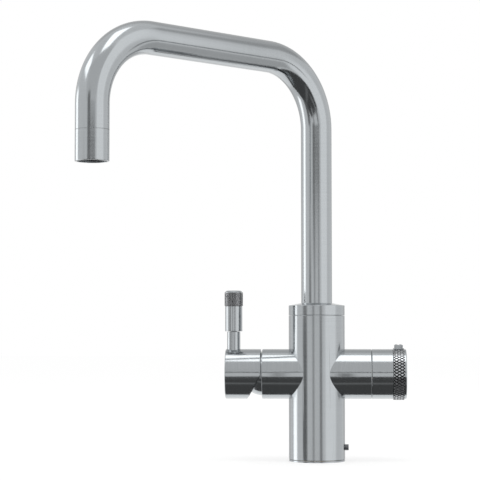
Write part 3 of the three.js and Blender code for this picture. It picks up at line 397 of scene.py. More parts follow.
steel_z = metal("steel_turned_upright", STEEL, roughness=0.16, brush="Z")
steel_x = metal("steel_turned_across", STEEL, roughness=0.15, brush="X")
steel_sweep = metal("steel_tube", STEEL, roughness=0.15, brush="UV")
steel_dome = metal("steel_dome", STEEL, roughness=0.16, brush="X")
knurl_steel = metal("steel_knurl", KNURL_STEEL, roughness=0.2, grooves=RING_GROOVES)
grip_steel = metal("steel_grip", GRIP_STEEL, roughness=0.26, grooves=GRIP_GROOVES)
button_steel = metal("steel_button", STEEL, roughness=0.24)
dark_steel = metal("dark_steel", DARK_STEEL, roughness=0.32)
screw_steel = metal("steel_clamp_screw", SCREW_STEEL, roughness=0.4)
brass = metal("brass", BRASS, roughness=0.28)
rubber = matte("rubber", RUBBER, roughness=0.75)
ceramic = matte("ceramic", CERAMIC, roughness=0.22, coat=0.3)
grey_plastic = matte("grey_plastic", GREY_PLASTIC, roughness=0.5)
white_plastic = matte("white_plastic", WHITE_PLASTIC, roughness=0.45)
silicone = matte("silicone", SILICONE, roughness=0.55, sheen=0.1)

SLOT_MATERIALS = {
    "brushed_steel": steel_z, "knurled_steel": knurl_steel, "dark_steel": dark_steel, "brass": brass,
    "rubber": rubber, "ceramic": ceramic, "grey_plastic": grey_plastic,
    "white_plastic": white_plastic, "silicone": silicone,
}


# ------------------------------------------------------------------ mesh code

def rounded(corners, steps=ROUND_STEPS):
    """Profile points from corners (radius, height) or (radius, height, rounding).

    A point close beside each end of a rounding keeps the shading of the long faces straight.
    """
    points = []
    for i, corner in enumerate(corners):
        here = Vector(corner[:2])
        if len(corner) == 2:
            points.append(here)
            continue
        back = (Vector(corners[i - 1][:2]) - here).normalized()
        ahead = (Vector(corners[(i + 1) % len(corners)][:2]) - here).normalized()
        half = back.angle(ahead) / 2
        centre = here + (back + ahead).normalized() * (corner[2] / math.sin(half))
        start = here + back * (corner[2] / math.tan(half)) - centre
        end = here + ahead * (corner[2] / math.tan(half)) - centre
        turn = math.atan2(start.x * end.y - start.y * end.x, start.dot(end))
        points.append(centre + start + back * SHADE_GAP)
        for k in range(steps + 1):
            points.append(centre + Matrix.Rotation(turn * k / steps, 2) @ start)
        points.append(centre + end + ahead * SHADE_GAP)
    return points


def arc(centre, radius, start, end, steps):
    """Points of a round stretch, angles in radians."""
    angles = [start + (end - start) * k / steps for k in range(steps + 1)]
    return [Vector((centre[0] + radius * math.cos(a), centre[1] + radius * math.sin(a))) for a in angles]


def hexagon(radius, x=0.0, y=0.0, turned=0):
    """The corners of a hexagon round a point, turned by so many degrees."""
    angles = [math.radians(60 * k + turned) for k in range(6)]
    return [(x + radius * math.cos(angle), y + radius * math.sin(angle)) for angle in angles]


def skin(bm, loops, closed=False):
    """Faces between loops of vertices. A loop of one vertex makes a fan."""
    pairs = list(zip(loops, loops[1:]))
    if closed:
        pairs.append((loops[-1], loops[0]))
    for low, high in pairs:
        count = max(len(low), len(high))
        for i in range(count):
            k = (i + 1) % count
            if len(low) == 1:
                bm.faces.new((low[0], high[k], high[i]))
            elif len(high) == 1:
                bm.faces.new((low[i], low[k], high[0]))
            else:
                bm.faces.new((low[i], low[k], high[k], high[i]))
    bmesh.ops.recalc_face_normals(bm, faces=bm.faces)


def ring_of(bm, radius, height, count):
    if radius < TINY:
        return [bm.verts.new((0, 0, height))]
    turn = 2 * math.pi / count
    return [bm.verts.new((radius * math.cos(i * turn), radius * math.sin(i * turn), height))
            for i in range(count)]


def lathe(profile, segments=SEGMENTS):
    """A solid turned about Z. Its profile starts and ends on the axis, or closes on itself."""
    bm = bmesh.new()
    loops = [ring_of(bm, point[0], point[1], segments) for point in profile]
    skin(bm, loops, closed=profile[0][0] > TINY)
    return bm


def cylinder(radius, start, end, segments=SMALL_SEGMENTS):
    """A solid rod about Z."""
    return lathe([(0, start), (radius, start), (radius, end), (0, end)], segments)


def knurled(inner, outer, start, end, diamonds, depth):
    """A ring about Z, with so many flat-topped diamonds around and along it between crossing grooves."""
    count, rows = 2 * diamonds[0], 2 * diamonds[1]
    step = (end - start) / rows
    bm = bmesh.new()

    def point(i, j, radius):
        angle = 2 * math.pi * i / count
        return bm.verts.new((radius * math.cos(angle), radius * math.sin(angle), start + j * step))

    floor = {(i, j): point(i, j, outer - depth)
             for j in range(rows + 1) for i in range(j % 2, count, 2)}
    inside = []
    for j in range(rows + 1):
        rim, hub = [], []
        sides = [(x, y) for x, y in ((-1, 0), (0, -1), (1, 0), (0, 1)) if 0 <= j + y <= rows]
        for i in range((j + 1) % 2, count, 2):
            foot = [floor[(i + x) % count, j + y] for x, y in sides]
            top = [point(i + x * DIAMOND_TOP, j + y * DIAMOND_TOP, outer) for x, y in sides]
            bm.faces.new(top)
            for k in range(len(sides)):
                m = (k + 1) % len(sides)
                if sides[k][1] or sides[m][1]:
                    bm.faces.new((foot[k], foot[m], top[m], top[k]))
            rim += [foot[0], top[0], top[sides.index((1, 0))]]
            if inner > TINY and j in (0, rows):
                hub += [point(i + x, j, inner) for x in (-1, -DIAMOND_TOP, DIAMOND_TOP)]
        if j in (0, rows):
            inside.append(hub or [point(0, j, 0)])
            skin(bm, [inside[-1], rim])
    if inner > TINY:
        skin(bm, inside)
    return bm


def prism(outline, start, end, bm=None):
    """A solid from a flat outline of (x, y) points, from one height to another, or that added to a shape."""
    if bm is None:
        bm = bmesh.new()
    low = [bm.verts.new((x, y, start)) for x, y in outline]
    high = [bm.verts.new((x, y, end)) for x, y in outline]
    bm.faces.new(low)
    bm.faces.new(high)
    skin(bm, [low, high])
    return bm


def box(low, high):
    outline = [(low[0], low[1]), (high[0], low[1]), (high[0], high[1]), (low[0], high[1])]
    return prism(outline, low[2], high[2])


def along_x(bm, side, height):
    """Turns a shape about Z into one about X, pointing to the right or left, at a height."""
    bm.transform(Matrix.Translation((0, 0, height)) @ Matrix.Rotation(side * math.pi / 2, 4, "Y"))
    return bm


def moved(bm, x=0.0, y=0.0, z=0.0):
    bm.transform(Matrix.Translation((x, y, z)))
    return bm


def temporary(bm):
    mesh = bpy.data.meshes.new("temporary")
    bm.to_mesh(mesh)
    bm.free()
    thing = bpy.data.objects.new("temporary", mesh)
    scene.collection.objects.link(thing)
    return thing


def carved(base, joins=(), cuts=()):
    """The base with shapes joined on and then others cut away."""
    target = temporary(base)
    tools = [(temporary(tool), "UNION") for tool in joins]
    tools += [(temporary(tool), "DIFFERENCE") for tool in cuts]
    for tool, operation in tools:
        modifier = target.modifiers.new("carve", "BOOLEAN")
        modifier.operation = operation
        modifier.solver = "MANIFOLD"
        modifier.object = tool
    bpy.context.view_layer.update()
    result = target.evaluated_get(bpy.context.evaluated_depsgraph_get())
    bm = bmesh.new()
    bm.from_mesh(result.to_mesh())
    result.to_mesh_clear()
    for thing in [target] + [tool for tool, _ in tools]:
        bpy.data.objects.remove(thing)
    return bm


# ------------------------------------------------------------------ pieces

def piece(name, bm, body, material, replaced, smooth=SMOOTH_ANGLE):
    """A finished piece from a shape in millimetres, which rides on a body and stands for a CAD node.

    material is one material, or a tuple of those that its faces name by number.
    """
    bm.transform(Matrix.Scale(MM, 4))
    mesh = bpy.data.meshes.new(name)
    bm.to_mesh(mesh)
    bm.free()
    mesh.shade_smooth()
    mesh.set_sharp_from_angle(angle=smooth)
    thing = bpy.data.objects.new(name, mesh)
    scene.collection.objects.link(thing)
    for each in material if isinstance(material, tuple) else (material,):
        mesh.materials.append(each)
    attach(thing, body)
    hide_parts(replaced)


def dress_frame():
    """Gives every CAD node the finish of its slot. It shows on the nodes that no piece stands for."""
    for entry in frame["record"]["subparts"]:
        node = frame["nodes"][entry["node"]]
        node.data.materials.clear()
        node.data.materials.append(SLOT_MATERIALS[entry["material_slot"]])


# ------------------------------------------------------------------ body

# from along Z to towards the back, at the height of the screw that stops the spout's turn
STOP_SCREW_PLACE = Matrix.Translation((0, 0, stop_screw_box.middle.z)) @ Matrix.Rotation(-math.pi / 2, 4, "X")
STOP_HOLE_R = 3


def make_body():
    """The upright body and its two arms, bored out. The arms' faces have their brushing round the arms."""
    outside = lathe(rounded([
        (0, BODY_FOOT), (BODY_R, BODY_FOOT, SOFT_EDGE), (BODY_R, BODY_SEAM, SOFT_EDGE),
        (SEAM_RIM_R, BODY_SEAM), (SEAM_RIM_R, SEAM_RIM_TOP), (0, SEAM_RIM_TOP),
    ]))
    arms = along_x(lathe(rounded([
        (0, -ARM_REACH), (ARM_R, -ARM_REACH, EDGE), (ARM_R, ARM_REACH, EDGE), (0, ARM_REACH),
    ])), 1, ARM_Z)
    stop_hole = cylinder(STOP_HOLE_R, 0, BODY_R + PAST, SEGMENTS)
    stop_hole.transform(STOP_SCREW_PLACE)
    body = carved(outside, joins=[arms], cuts=[
        cylinder(FOOT_BORE_R, 0, FOOT_BORE_TOP, SEGMENTS),
        cylinder(CAVITY_R, FOOT_BORE_TOP - PAST, CAVITY_TOP, SEGMENTS),
        cylinder(SPOUT_BORE_R, SPOUT_BORE_FLOOR, SEAM_RIM_TOP + PAST, SEGMENTS),
        along_x(cylinder(CARTRIDGE_BORE_R, ARM_BORE_FLOOR, ARM_REACH + PAST, SEGMENTS), -1, ARM_Z),
        along_x(cylinder(VALVE_BORE_R, ARM_BORE_FLOOR, ARM_REACH + PAST, SEGMENTS), 1, ARM_Z),
        stop_hole,
    ])
    for face in body.faces:
        centre = face.calc_center_median()
        on_arm = math.hypot(centre.x, centre.y) > BODY_R + HAIR
        face.material_index = int(on_arm)
    piece("tap_body_shell", body, "tap_body", (steel_z, steel_x), "main_body")


FOOT_RING_BORE_R = 19
FOOT_RING_R = BODY_R - 0.1
FOOT_RING_EDGE = 0.25


def make_base_ring():
    top = base_ring_box.high.z
    ring = lathe(rounded([
        (FOOT_RING_BORE_R, 0), (FOOT_RING_R, 0, FOOT_RING_EDGE), (FOOT_RING_R, top, SOFT_EDGE),
        (FOOT_RING_BORE_R, top),
    ]))
    piece("foot_ring", ring, "tap_body", steel_z, "base_ring")


CLAMP_SHANK_R = 1.9
CLAMP_SHANK_START = 20.7
CLAMP_SHANK_END = BODY_R + 0.6


def make_clamp_screw():
    """The knurled head and its shank, which goes through the body's wall into the foot insert."""
    height = clamp_screw_box.middle.z
    head = knurled(0, clamp_screw_box.high.y, BODY_R + HAIR, clamp_screw_box.high.x,
                   SCREW_DIAMONDS, SCREW_DEPTH)
    shank = cylinder(CLAMP_SHANK_R, CLAMP_SHANK_START, CLAMP_SHANK_END)
    screw = carved(along_x(head, 1, height), joins=[along_x(shank, 1, height)])
    piece("foot_clamp_screw", screw, "tap_body", screw_steel, "body_clamp_screw", KNURL_SMOOTH)


# ------------------------------------------------------------------ mixer handle

DOME_PIVOT = 48
DOME_R = 19
DOME_WALL = 1.8
DOME_MOUTH_R = 14
DOME_SEAT = ARM_REACH + 0.3
DOME_SPIGOT_R = CARTRIDGE_BORE_R - 0.3
DOME_SPIGOT_LENGTH = 8.7


def make_dome():
    """The domed trim round the stem's pivot, with a spigot in the arm, worked out along the arm."""
    inner_r = DOME_R - DOME_WALL
    spigot_bore_r = DOME_SPIGOT_R - DOME_WALL
    foot = DOME_SEAT - DOME_SPIGOT_LENGTH

    def at_seat(radius):
        return math.asin((DOME_SEAT - DOME_PIVOT) / radius)

    def at_mouth(radius):
        return math.acos(DOME_MOUTH_R / radius)

    dome = lathe([
        Vector((spigot_bore_r, foot)), Vector((DOME_SPIGOT_R, foot)), Vector((DOME_SPIGOT_R, DOME_SEAT)),
        *arc((0, DOME_PIVOT), DOME_R, at_seat(DOME_R), at_mouth(DOME_R), DOME_STEPS),
        *arc((0, DOME_PIVOT), inner_r, at_mouth(inner_r), at_seat(inner_r), DOME_STEPS),
        Vector((spigot_bore_r, DOME_SEAT)),
    ])
    piece("mixer_dome", along_x(dome, -1, ARM_Z), "tap_body", steel_dome, "trim_dome")


CAP_WALL = 1.9
CAP_FLOOR = 68
RELIEF_START = 0.2
RELIEF_LEAN = math.radians(29.5)
RELIEF_PAST = 2
LEVER_X = stem_box.middle.x
LEVER_SEAT_R = stem_box.high.y + 0.06
LEVER_SEAT_FLOOR = 20.6
GRUB_HOLE_R = 2.8
GRUB_HOLE_FLOOR = -3.25


def make_handle_cap():
    """A cup over the cartridge, with a slanted relief below, the lever's seat and the grub screw's hole."""
    start, end = -handle_box.high.x, -handle_box.low.x
    outside = lathe(rounded([
        (0, start), (ARM_R, start, EDGE), (ARM_R, end, CAP_EDGE), (0, end),
    ], CAP_STEPS))
    cavity = cylinder(ARM_R - CAP_WALL, start - PAST, CAP_FLOOR, SEGMENTS)

    depth = ARM_R + RELIEF_PAST
    run = (depth - RELIEF_START) * math.tan(RELIEF_LEAN)
    outline = [(-start + RELIEF_PAST, ARM_Z - RELIEF_START), (-start, ARM_Z - RELIEF_START),
               (-start - run, ARM_Z - depth), (-start + RELIEF_PAST, ARM_Z - depth)]
    relief = prism(outline, -depth, depth)
    relief.transform(Matrix.Rotation(math.pi / 2, 4, "X"))

    seat = cylinder(LEVER_SEAT_R, LEVER_SEAT_FLOOR, ARM_R + 2 * PAST)
    grub_hole = cylinder(GRUB_HOLE_R, -ARM_R - PAST, GRUB_HOLE_FLOOR)
    cap = carved(along_x(outside, -1, ARM_Z), cuts=[
        along_x(cavity, -1, ARM_Z), relief, moved(seat, x=LEVER_X, z=ARM_Z),
        moved(grub_hole, x=handle_grub_box.middle.x, z=ARM_Z),
    ])
    piece("mixer_handle_cap", cap, "mixer_handle", steel_x, "handle_cap")


LEVER_PEG_R = 3
LEVER_SHOULDER = ARM_Z + 20.9
LEVER_CORE_R = 3.2
LEVER_BORE_R = LEVER_CORE_R + 0.3
STEM_TOP = lever_sleeve_box.low.z - 0.3
SLEEVE_EDGE = 0.4
GRIP_FOOT = lever_sleeve_box.high.z - 0.15
GRIP_SEAM = 0.1
GRIP_TOP = grip_box.high.z - 0.2
GRIP_CAP_TOP = grip_cap_box.high.z - 0.4
GRIP_CAP_RIM = 0.5
GRIP_CAP_RIM_EDGE = 0.15
CROWN_INSET, CROWN_DROP, CROWN_EDGE = 1.9, 0.35, 0.9


def make_lever():
    """The lever's stem with its long core, and the sleeve, grip and cap that sit on the core."""
    stem_r, sleeve_r = stem_box.high.y, lever_sleeve_box.high.y
    stem = lathe(rounded([
        (0, stem_box.low.z), (LEVER_PEG_R, stem_box.low.z, SOFT_EDGE), (LEVER_PEG_R, LEVER_SHOULDER),
        (stem_r, LEVER_SHOULDER), (stem_r, STEM_TOP, SOFT_EDGE), (LEVER_CORE_R, STEM_TOP),
        (LEVER_CORE_R, stem_box.high.z), (0, stem_box.high.z),
    ]), SMALL_SEGMENTS)
    piece("lever_lower_stem", moved(stem, x=LEVER_X), "mixer_handle", steel_z, "lever_stem")

    sleeve_foot, sleeve_top = lever_sleeve_box.low.z, GRIP_FOOT - GRIP_SEAM
    sleeve = lathe(rounded([
        (LEVER_BORE_R, sleeve_foot), (sleeve_r, sleeve_foot, SLEEVE_EDGE),
        (sleeve_r, sleeve_top, SLEEVE_EDGE), (LEVER_BORE_R, sleeve_top),
    ]), SMALL_SEGMENTS)
    piece("lever_upper_sleeve", moved(sleeve, x=LEVER_X), "mixer_handle", steel_z,
          "lever_sleeve")

    grip = knurled(LEVER_BORE_R, grip_box.high.y, GRIP_FOOT, GRIP_TOP, GRIP_DIAMONDS, GRIP_DEPTH)
    piece("lever_knurled_grip", moved(grip, x=LEVER_X), "mixer_handle", grip_steel,
          "lever_grip", KNURL_SMOOTH)

    cap_r, rim = grip_cap_box.high.y, grip_box.high.z
    cap = lathe(rounded([
        (0, grip_cap_box.low.z), (LEVER_CORE_R, grip_cap_box.low.z), (LEVER_CORE_R, rim),
        (cap_r, rim, GRIP_CAP_RIM_EDGE), (cap_r, rim + GRIP_CAP_RIM, SOFT_EDGE),
        (cap_r - CROWN_INSET, GRIP_CAP_TOP - CROWN_DROP, CROWN_EDGE), (0, GRIP_CAP_TOP),
    ], CAP_STEPS), SMALL_SEGMENTS)
    piece("lever_grip_end", moved(cap, x=LEVER_X), "mixer_handle", steel_z, "grip_cap")


# ------------------------------------------------------------------ boiling water handle

SHELL_R = 20.1
SLEEVE_START = ARM_REACH + 0.25
BUTTON_HALF_WIDTH = 4
BUTTON_GAP = 0.25
BUTTON_SLOT_FLOOR = 10
END_CAP_R = 22.05
END_CAP_BOSS_R = 4.4
END_CAP_START = ring_box.high.x + 0.2


def make_boiling_handle():
    sleeve = lathe(rounded([
        (SHELL_R, SLEEVE_START), (ARM_R, SLEEVE_START, EDGE), (ARM_R, sleeve_box.high.x, SOFT_EDGE),
        (SHELL_R, sleeve_box.high.x),
    ]))
    piece("boiling_sleeve", along_x(sleeve, 1, ARM_Z), "boiling_handle", steel_x,
          "handle_sleeve")

    ring_r = ring_box.high.y
    ring = knurled(SHELL_R, ring_r, ring_box.low.x, ring_box.high.x, RING_DIAMONDS, RING_DEPTH)
    half = BUTTON_HALF_WIDTH + BUTTON_GAP
    slot = box((button_box.low.x - BUTTON_GAP, -half, ARM_Z + BUTTON_SLOT_FLOOR),
               (button_box.high.x + BUTTON_GAP, half, ARM_Z + ring_r + PAST))
    piece("boiling_knurled_ring", carved(along_x(ring, 1, ARM_Z), cuts=[slot]), "boiling_handle", knurl_steel,
          "knurled_ring", KNURL_SMOOTH)

    cap = lathe(rounded([
        (0, end_cap_box.low.x), (END_CAP_BOSS_R, end_cap_box.low.x), (END_CAP_BOSS_R, END_CAP_START),
        (END_CAP_R, END_CAP_START), (END_CAP_R, end_cap_box.high.x, CAP_EDGE), (0, end_cap_box.high.x),
    ], CAP_STEPS))
    piece("boiling_end_cap", along_x(cap, 1, ARM_Z), "boiling_handle", steel_x, "end_cap")


BUTTON_LIFT = 0.15
BUTTON_EDGE = 1.1
BUTTON_STEPS = 5
GROOVE_HALF_WIDTH = 0.9
GROOVE_RIM_EDGE = 0.5
GROOVE_FLOOR_EDGE = 0.35
BEVEL_WIDTH = 0.35
BEVEL_STEPS = 3
BEVEL_ANGLE = 1.2
BEVEL_REACH = 3
FLANGE_HALF_WIDTH = 5.5
FLANGE_HEIGHT = 2.2
SPRING_POCKET_R = 2.6
SPRING_POCKET_DEPTH = 2.7


def make_button():
    """Two low rounded ridges with a groove between them, on a flanged column with a pocket for the spring."""
    left, right, middle = button_box.low.x, button_box.high.x, button_box.middle.x
    top = button_box.high.z
    foot = button_box.low.z + BUTTON_LIFT
    outline = rounded([
        (left, foot), (left, top, BUTTON_EDGE), (middle - GROOVE_HALF_WIDTH, top, GROOVE_RIM_EDGE),
        (middle, top - GROOVE_HALF_WIDTH, GROOVE_FLOOR_EDGE),
        (middle + GROOVE_HALF_WIDTH, top, GROOVE_RIM_EDGE), (right, top, BUTTON_EDGE), (right, foot),
    ], BUTTON_STEPS)
    column = prism([(point.x, point.y) for point in outline], -BUTTON_HALF_WIDTH, BUTTON_HALF_WIDTH)
    column.transform(Matrix.Rotation(math.pi / 2, 4, "X"))
    upper_edges = [edge for edge in column.edges
                   if len(edge.link_faces) == 2 and edge.calc_face_angle() > BEVEL_ANGLE
                   and max(v.co.z for v in edge.verts) > top - BEVEL_REACH]
    bmesh.ops.bevel(column, geom=upper_edges, offset=BEVEL_WIDTH, segments=BEVEL_STEPS, affect="EDGES",
                    profile=0.5)
    flange = box((left, -FLANGE_HALF_WIDTH, foot), (right, FLANGE_HALF_WIDTH, foot + FLANGE_HEIGHT))
    pocket = moved(cylinder(SPRING_POCKET_R, foot - PAST, foot + SPRING_POCKET_DEPTH), x=middle)
    piece("boiling_safety_button", carved(column, joins=[flange], cuts=[pocket]), "safety_button",
          button_steel, "safety_button")


# ------------------------------------------------------------------ spout

COLLAR_SHOULDER = collar_box.low.z + 8.6
COLLAR_SHOULDER_EDGE = 0.35
COLLAR_RIM_EDGE = 0.25
COLLAR_BORE_R = TUBE_R + 0.3
COLLAR_FOOT_BORE_R = 15.3
COLLAR_LEDGE = collar_box.low.z + 1.9
COLLAR_RECESS = 0.4
COLLAR_HOLE_R = 2.1
COLLAR_SCREW_TURN = Matrix.Rotation(SPOUT_TURN + math.pi, 4, "Z")


def make_collar():
    """The collar over the seam's rim, with a shallow cone on top and a hole for its grub screw."""
    recess_r, recess = SEAM_RIM_R + COLLAR_RECESS, SEAM_RIM_TOP + COLLAR_RECESS
    collar = lathe(rounded([
        (COLLAR_FOOT_BORE_R, recess), (recess_r, recess), (recess_r, COLLAR_SEAM),
        (BODY_R, COLLAR_SEAM, SOFT_EDGE), (BODY_R, COLLAR_SHOULDER, COLLAR_SHOULDER_EDGE),
        (COLLAR_BORE_R, collar_box.high.z, COLLAR_RIM_EDGE), (COLLAR_BORE_R, COLLAR_LEDGE),
        (COLLAR_FOOT_BORE_R, COLLAR_LEDGE),
    ]))
    hole = along_x(cylinder(COLLAR_HOLE_R, TUBE_R, BODY_R + PAST), 1, collar_grub_box.middle.z)
    hole.transform(COLLAR_SCREW_TURN)
    piece("spout_foot_collar", carved(collar, cuts=[hole]), "spout", steel_z, "spout_collar")


def spout_line(start, end):
    """Centre and heading of the spout's line: up, a quarter bend, out, a quarter bend, down."""
    bend_z = SPOUT_AXIS_Z - BEND_R
    line = [(Vector((0, 0, start)), Vector((0, 0, 1)))]
    for centre_x, first in ((BEND_R, math.pi), (SPOUT_REACH - BEND_R, math.pi / 2)):
        for k in range(BEND_STEPS + 1):
            angle = first - math.pi / 2 * k / BEND_STEPS
            place = Vector((centre_x + BEND_R * math.cos(angle), 0, bend_z + BEND_R * math.sin(angle)))
            line.append((place, Vector((math.sin(angle), 0, -math.cos(angle)))))
    line.append((Vector((SPOUT_REACH, 0, end)), Vector((0, 0, -1))))
    return line


TUBE_END = outlet_box.low.z + 25.22


def make_tube():
    """The bent tube, with a map of metres around and along it for the brushing."""
    line = spout_line(tube_box.low.z, TUBE_END)
    bm = bmesh.new()
    sideways = Vector((0, 1, 0))

    def loop(centre, heading, radius):
        outwards = sideways.cross(heading)
        turn = 2 * math.pi / SMALL_SEGMENTS
        spokes = [math.cos(i * turn) * outwards + math.sin(i * turn) * sideways
                  for i in range(SMALL_SEGMENTS)]
        return [bm.verts.new(centre + radius * spoke) for spoke in spokes]

    outer = [loop(centre, heading, TUBE_R) for centre, heading in line]
    inner = [loop(centre, heading, TUBE_BORE_R) for centre, heading in reversed(line)]
    skin(bm, outer + inner, closed=True)
    lengths = [0.0]
    for (a, _), (b, _) in zip(line, line[1:]):
        lengths.append(lengths[-1] + (b - a).length)
    place = {}
    for run, loops in ((lengths, outer), (lengths[::-1], inner)):
        for length, ring in zip(run, loops):
            for i, vertex in enumerate(ring):
                place[vertex] = (i / SMALL_SEGMENTS, length * MM)
    uv = bm.loops.layers.uv.new(SWEEP_MAP)
    around = 2 * math.pi * TUBE_R * MM
    for face in bm.faces:
        shares = [place[corner.vert][0] for corner in face.loops]
        wraps = max(shares) - min(shares) > 0.5
        for corner in face.loops:
            u, v = place[corner.vert]
            corner[uv].uv = ((u + 1 if wraps and u < 0.5 else u) * around, v)
    bm.transform(Matrix.Rotation(SPOUT_TURN, 4, "Z"))
    piece("spout_bent_tube", bm, "spout", steel_sweep, "spout_tube")


def at_outlet(bm):
    return moved(bm, SPOUT_REACH * math.cos(SPOUT_TURN), SPOUT_REACH * math.sin(SPOUT_TURN))


OUTLET_NECK_R = 12
OUTLET_BORE_R = 9
OUTLET_MOUTH_R = 12
OUTLET_MOUTH_DEPTH = 17
CAGE_R = 11.7
CAGE_BORE_R = CAGE_R - 1.8


def make_outlet():
    """The housing that plugs into the tube, and the aerator's ring and screen in its mouth."""
    low, high = outlet_box.low.z, outlet_box.high.z
    mouth_top = low + OUTLET_MOUTH_DEPTH
    housing = lathe(rounded([
        (OUTLET_MOUTH_R, low, SOFT_EDGE), (TUBE_R, low, EDGE), (TUBE_R, OUTLET_SEAM, FINE_EDGE),
        (OUTLET_NECK_R, OUTLET_SEAM), (OUTLET_NECK_R, high), (OUTLET_BORE_R, high),
        (OUTLET_BORE_R, mouth_top), (OUTLET_MOUTH_R, mouth_top),
    ]))
    piece("spout_outlet", at_outlet(housing), "spout", steel_z, "outlet_housing")

    low, high = cage_box.low.z, cage_box.high.z
    cage = lathe(rounded([
        (CAGE_BORE_R, low, SOFT_EDGE), (CAGE_R, low, SOFT_EDGE), (CAGE_R, high), (CAGE_BORE_R, high),
    ]))
    piece("aerator_ring", at_outlet(cage), "spout", dark_steel, "aerator_cage")
    piece("aerator_screen", at_outlet(screen_disc()), "spout", grey_plastic, "aerator_insert")


SCREEN_R = 9.6
SCREEN_MOUTH_R = 2.7
CELL_R = 0.95
CELL_WALL = 0.35
CELL_MARGIN = 0.3
CELL_DEPTH = 2.6


def screen_disc():
    """A disc of small six-sided cells round the mouth of the inner tube."""
    low, high = insert_box.low.z, insert_box.high.z
    disc = lathe(rounded([
        (SCREEN_MOUTH_R, low, FINE_EDGE), (SCREEN_R, low, FINE_EDGE), (SCREEN_R, high),
        (SCREEN_MOUTH_R, high),
    ]), SMALL_SEGMENTS)
    step = CELL_R * math.sqrt(3) + CELL_WALL
    reach = int(SCREEN_R / step) + 2
    cells = bmesh.new()
    for row in range(-reach, reach + 1):
        for column in range(-reach, reach + 1):
            x = (column + 0.5 * (row % 2)) * step
            y = row * step * math.sqrt(3) / 2
            if SCREEN_MOUTH_R + CELL_R + CELL_MARGIN < math.hypot(x, y) < SCREEN_R - CELL_R - CELL_MARGIN:
                prism(hexagon(CELL_R, x, y, 30), low - PAST, low + CELL_DEPTH, cells)
    return carved(disc, cuts=[cells])


# ------------------------------------------------------------------ small pieces

GRUB_SCREW_R = 2.5
COLLAR_SCREW_R = 1.8
COLLAR_SCREW_START = TUBE_R + 0.6
SCREW_EDGE = 0.35
SOCKET_SHARE = 0.52
SOCKET_DEPTH = 2


def socket_screw(name, node, radius, start, end, place, body):
    """A headless screw with a six-sided socket in its outer end, along Z before it is placed."""
    screw = lathe(rounded([(0, start), (radius, start), (radius, end, SCREW_EDGE), (0, end)]), SMALL_SEGMENTS)
    socket = prism(hexagon(radius * SOCKET_SHARE), end - SOCKET_DEPTH, end + PAST)
    shape = carved(screw, cuts=[socket])
    shape.transform(place)
    piece(name, shape, body, dark_steel, node)


def make_screws():
    socket_screw("stop_screw", "spout_retaining_screw", GRUB_SCREW_R, stop_screw_box.low.y,
                 stop_screw_box.high.y, STOP_SCREW_PLACE, "tap_body")
    place = Matrix.Translation((handle_grub_box.middle.x, 0, ARM_Z)) @ Matrix.Rotation(math.pi, 4, "X")
    socket_screw("mixer_grub_screw", "handle_grub_screw", GRUB_SCREW_R, ARM_Z - handle_grub_box.high.z,
                 ARM_Z - handle_grub_box.low.z, place, "mixer_handle")
    place = (COLLAR_SCREW_TURN @ Matrix.Translation((0, 0, collar_grub_box.middle.z))
             @ Matrix.Rotation(math.pi / 2, 4, "Y"))
    socket_screw("spout_grub_screw", "collar_grub_screw", COLLAR_SCREW_R, COLLAR_SCREW_START,
                 BODY_R - EDGE, place, "spout")


TAIL_R = 4.2
TAIL_BORE_R = 2.4
TAIL_EDGE = 0.4
TAIL_GROOVE_R = 3.5
TAIL_GROOVE = (12, 12.4, 14.2, 14.6)
TAIL_NECK_R = 3.8
FLANGE_TOP = CAVITY_TOP - 0.3
FLANGE_FOOT = FLANGE_TOP - 5.7
FLANGE_HEX_R = 5.45
FLANGE_HEX_TOP = FLANGE_TOP - 0.2
FLANGE_R = 4.6
FLANGE_HOLE_R = 4.4


def make_tails():
    """Hose tails: a six-sided flange, a groove and a bore."""
    groove_foot, groove_low, groove_high, groove_top = TAIL_GROOVE
    for node in ("hot_tail", "cold_tail", "boiling_tail", "filtered_tail"):
        part = NodeBox(node)
        low, high = part.low.z, part.high.z
        tail = lathe(rounded([
            (TAIL_BORE_R, low, SOFT_EDGE), (TAIL_R, low, TAIL_EDGE), (TAIL_R, groove_foot, FINE_EDGE),
            (TAIL_GROOVE_R, groove_low), (TAIL_GROOVE_R, groove_high), (TAIL_R, groove_top, FINE_EDGE),
            (TAIL_R, FLANGE_FOOT), (FLANGE_R, FLANGE_FOOT), (FLANGE_R, FLANGE_TOP),
            (TAIL_NECK_R, FLANGE_TOP), (TAIL_NECK_R, high, SOFT_EDGE), (TAIL_BORE_R, high),
        ]), SMALL_SEGMENTS)
        hole = cylinder(FLANGE_HOLE_R, FLANGE_FOOT - PAST, FLANGE_TOP + PAST)
        flange = carved(prism(hexagon(FLANGE_HEX_R), FLANGE_FOOT, FLANGE_HEX_TOP), cuts=[hole])
        fitting = moved(carved(tail, joins=[flange]), x=part.middle.x, y=part.middle.y)
        piece(node + "_fitting", fitting, "tap_body", brass, node)


# ------------------------------------------------------------------ studio, in metres

STUDIO_AIM = Vector((0, 0, 0.12))
FAR = 4.0

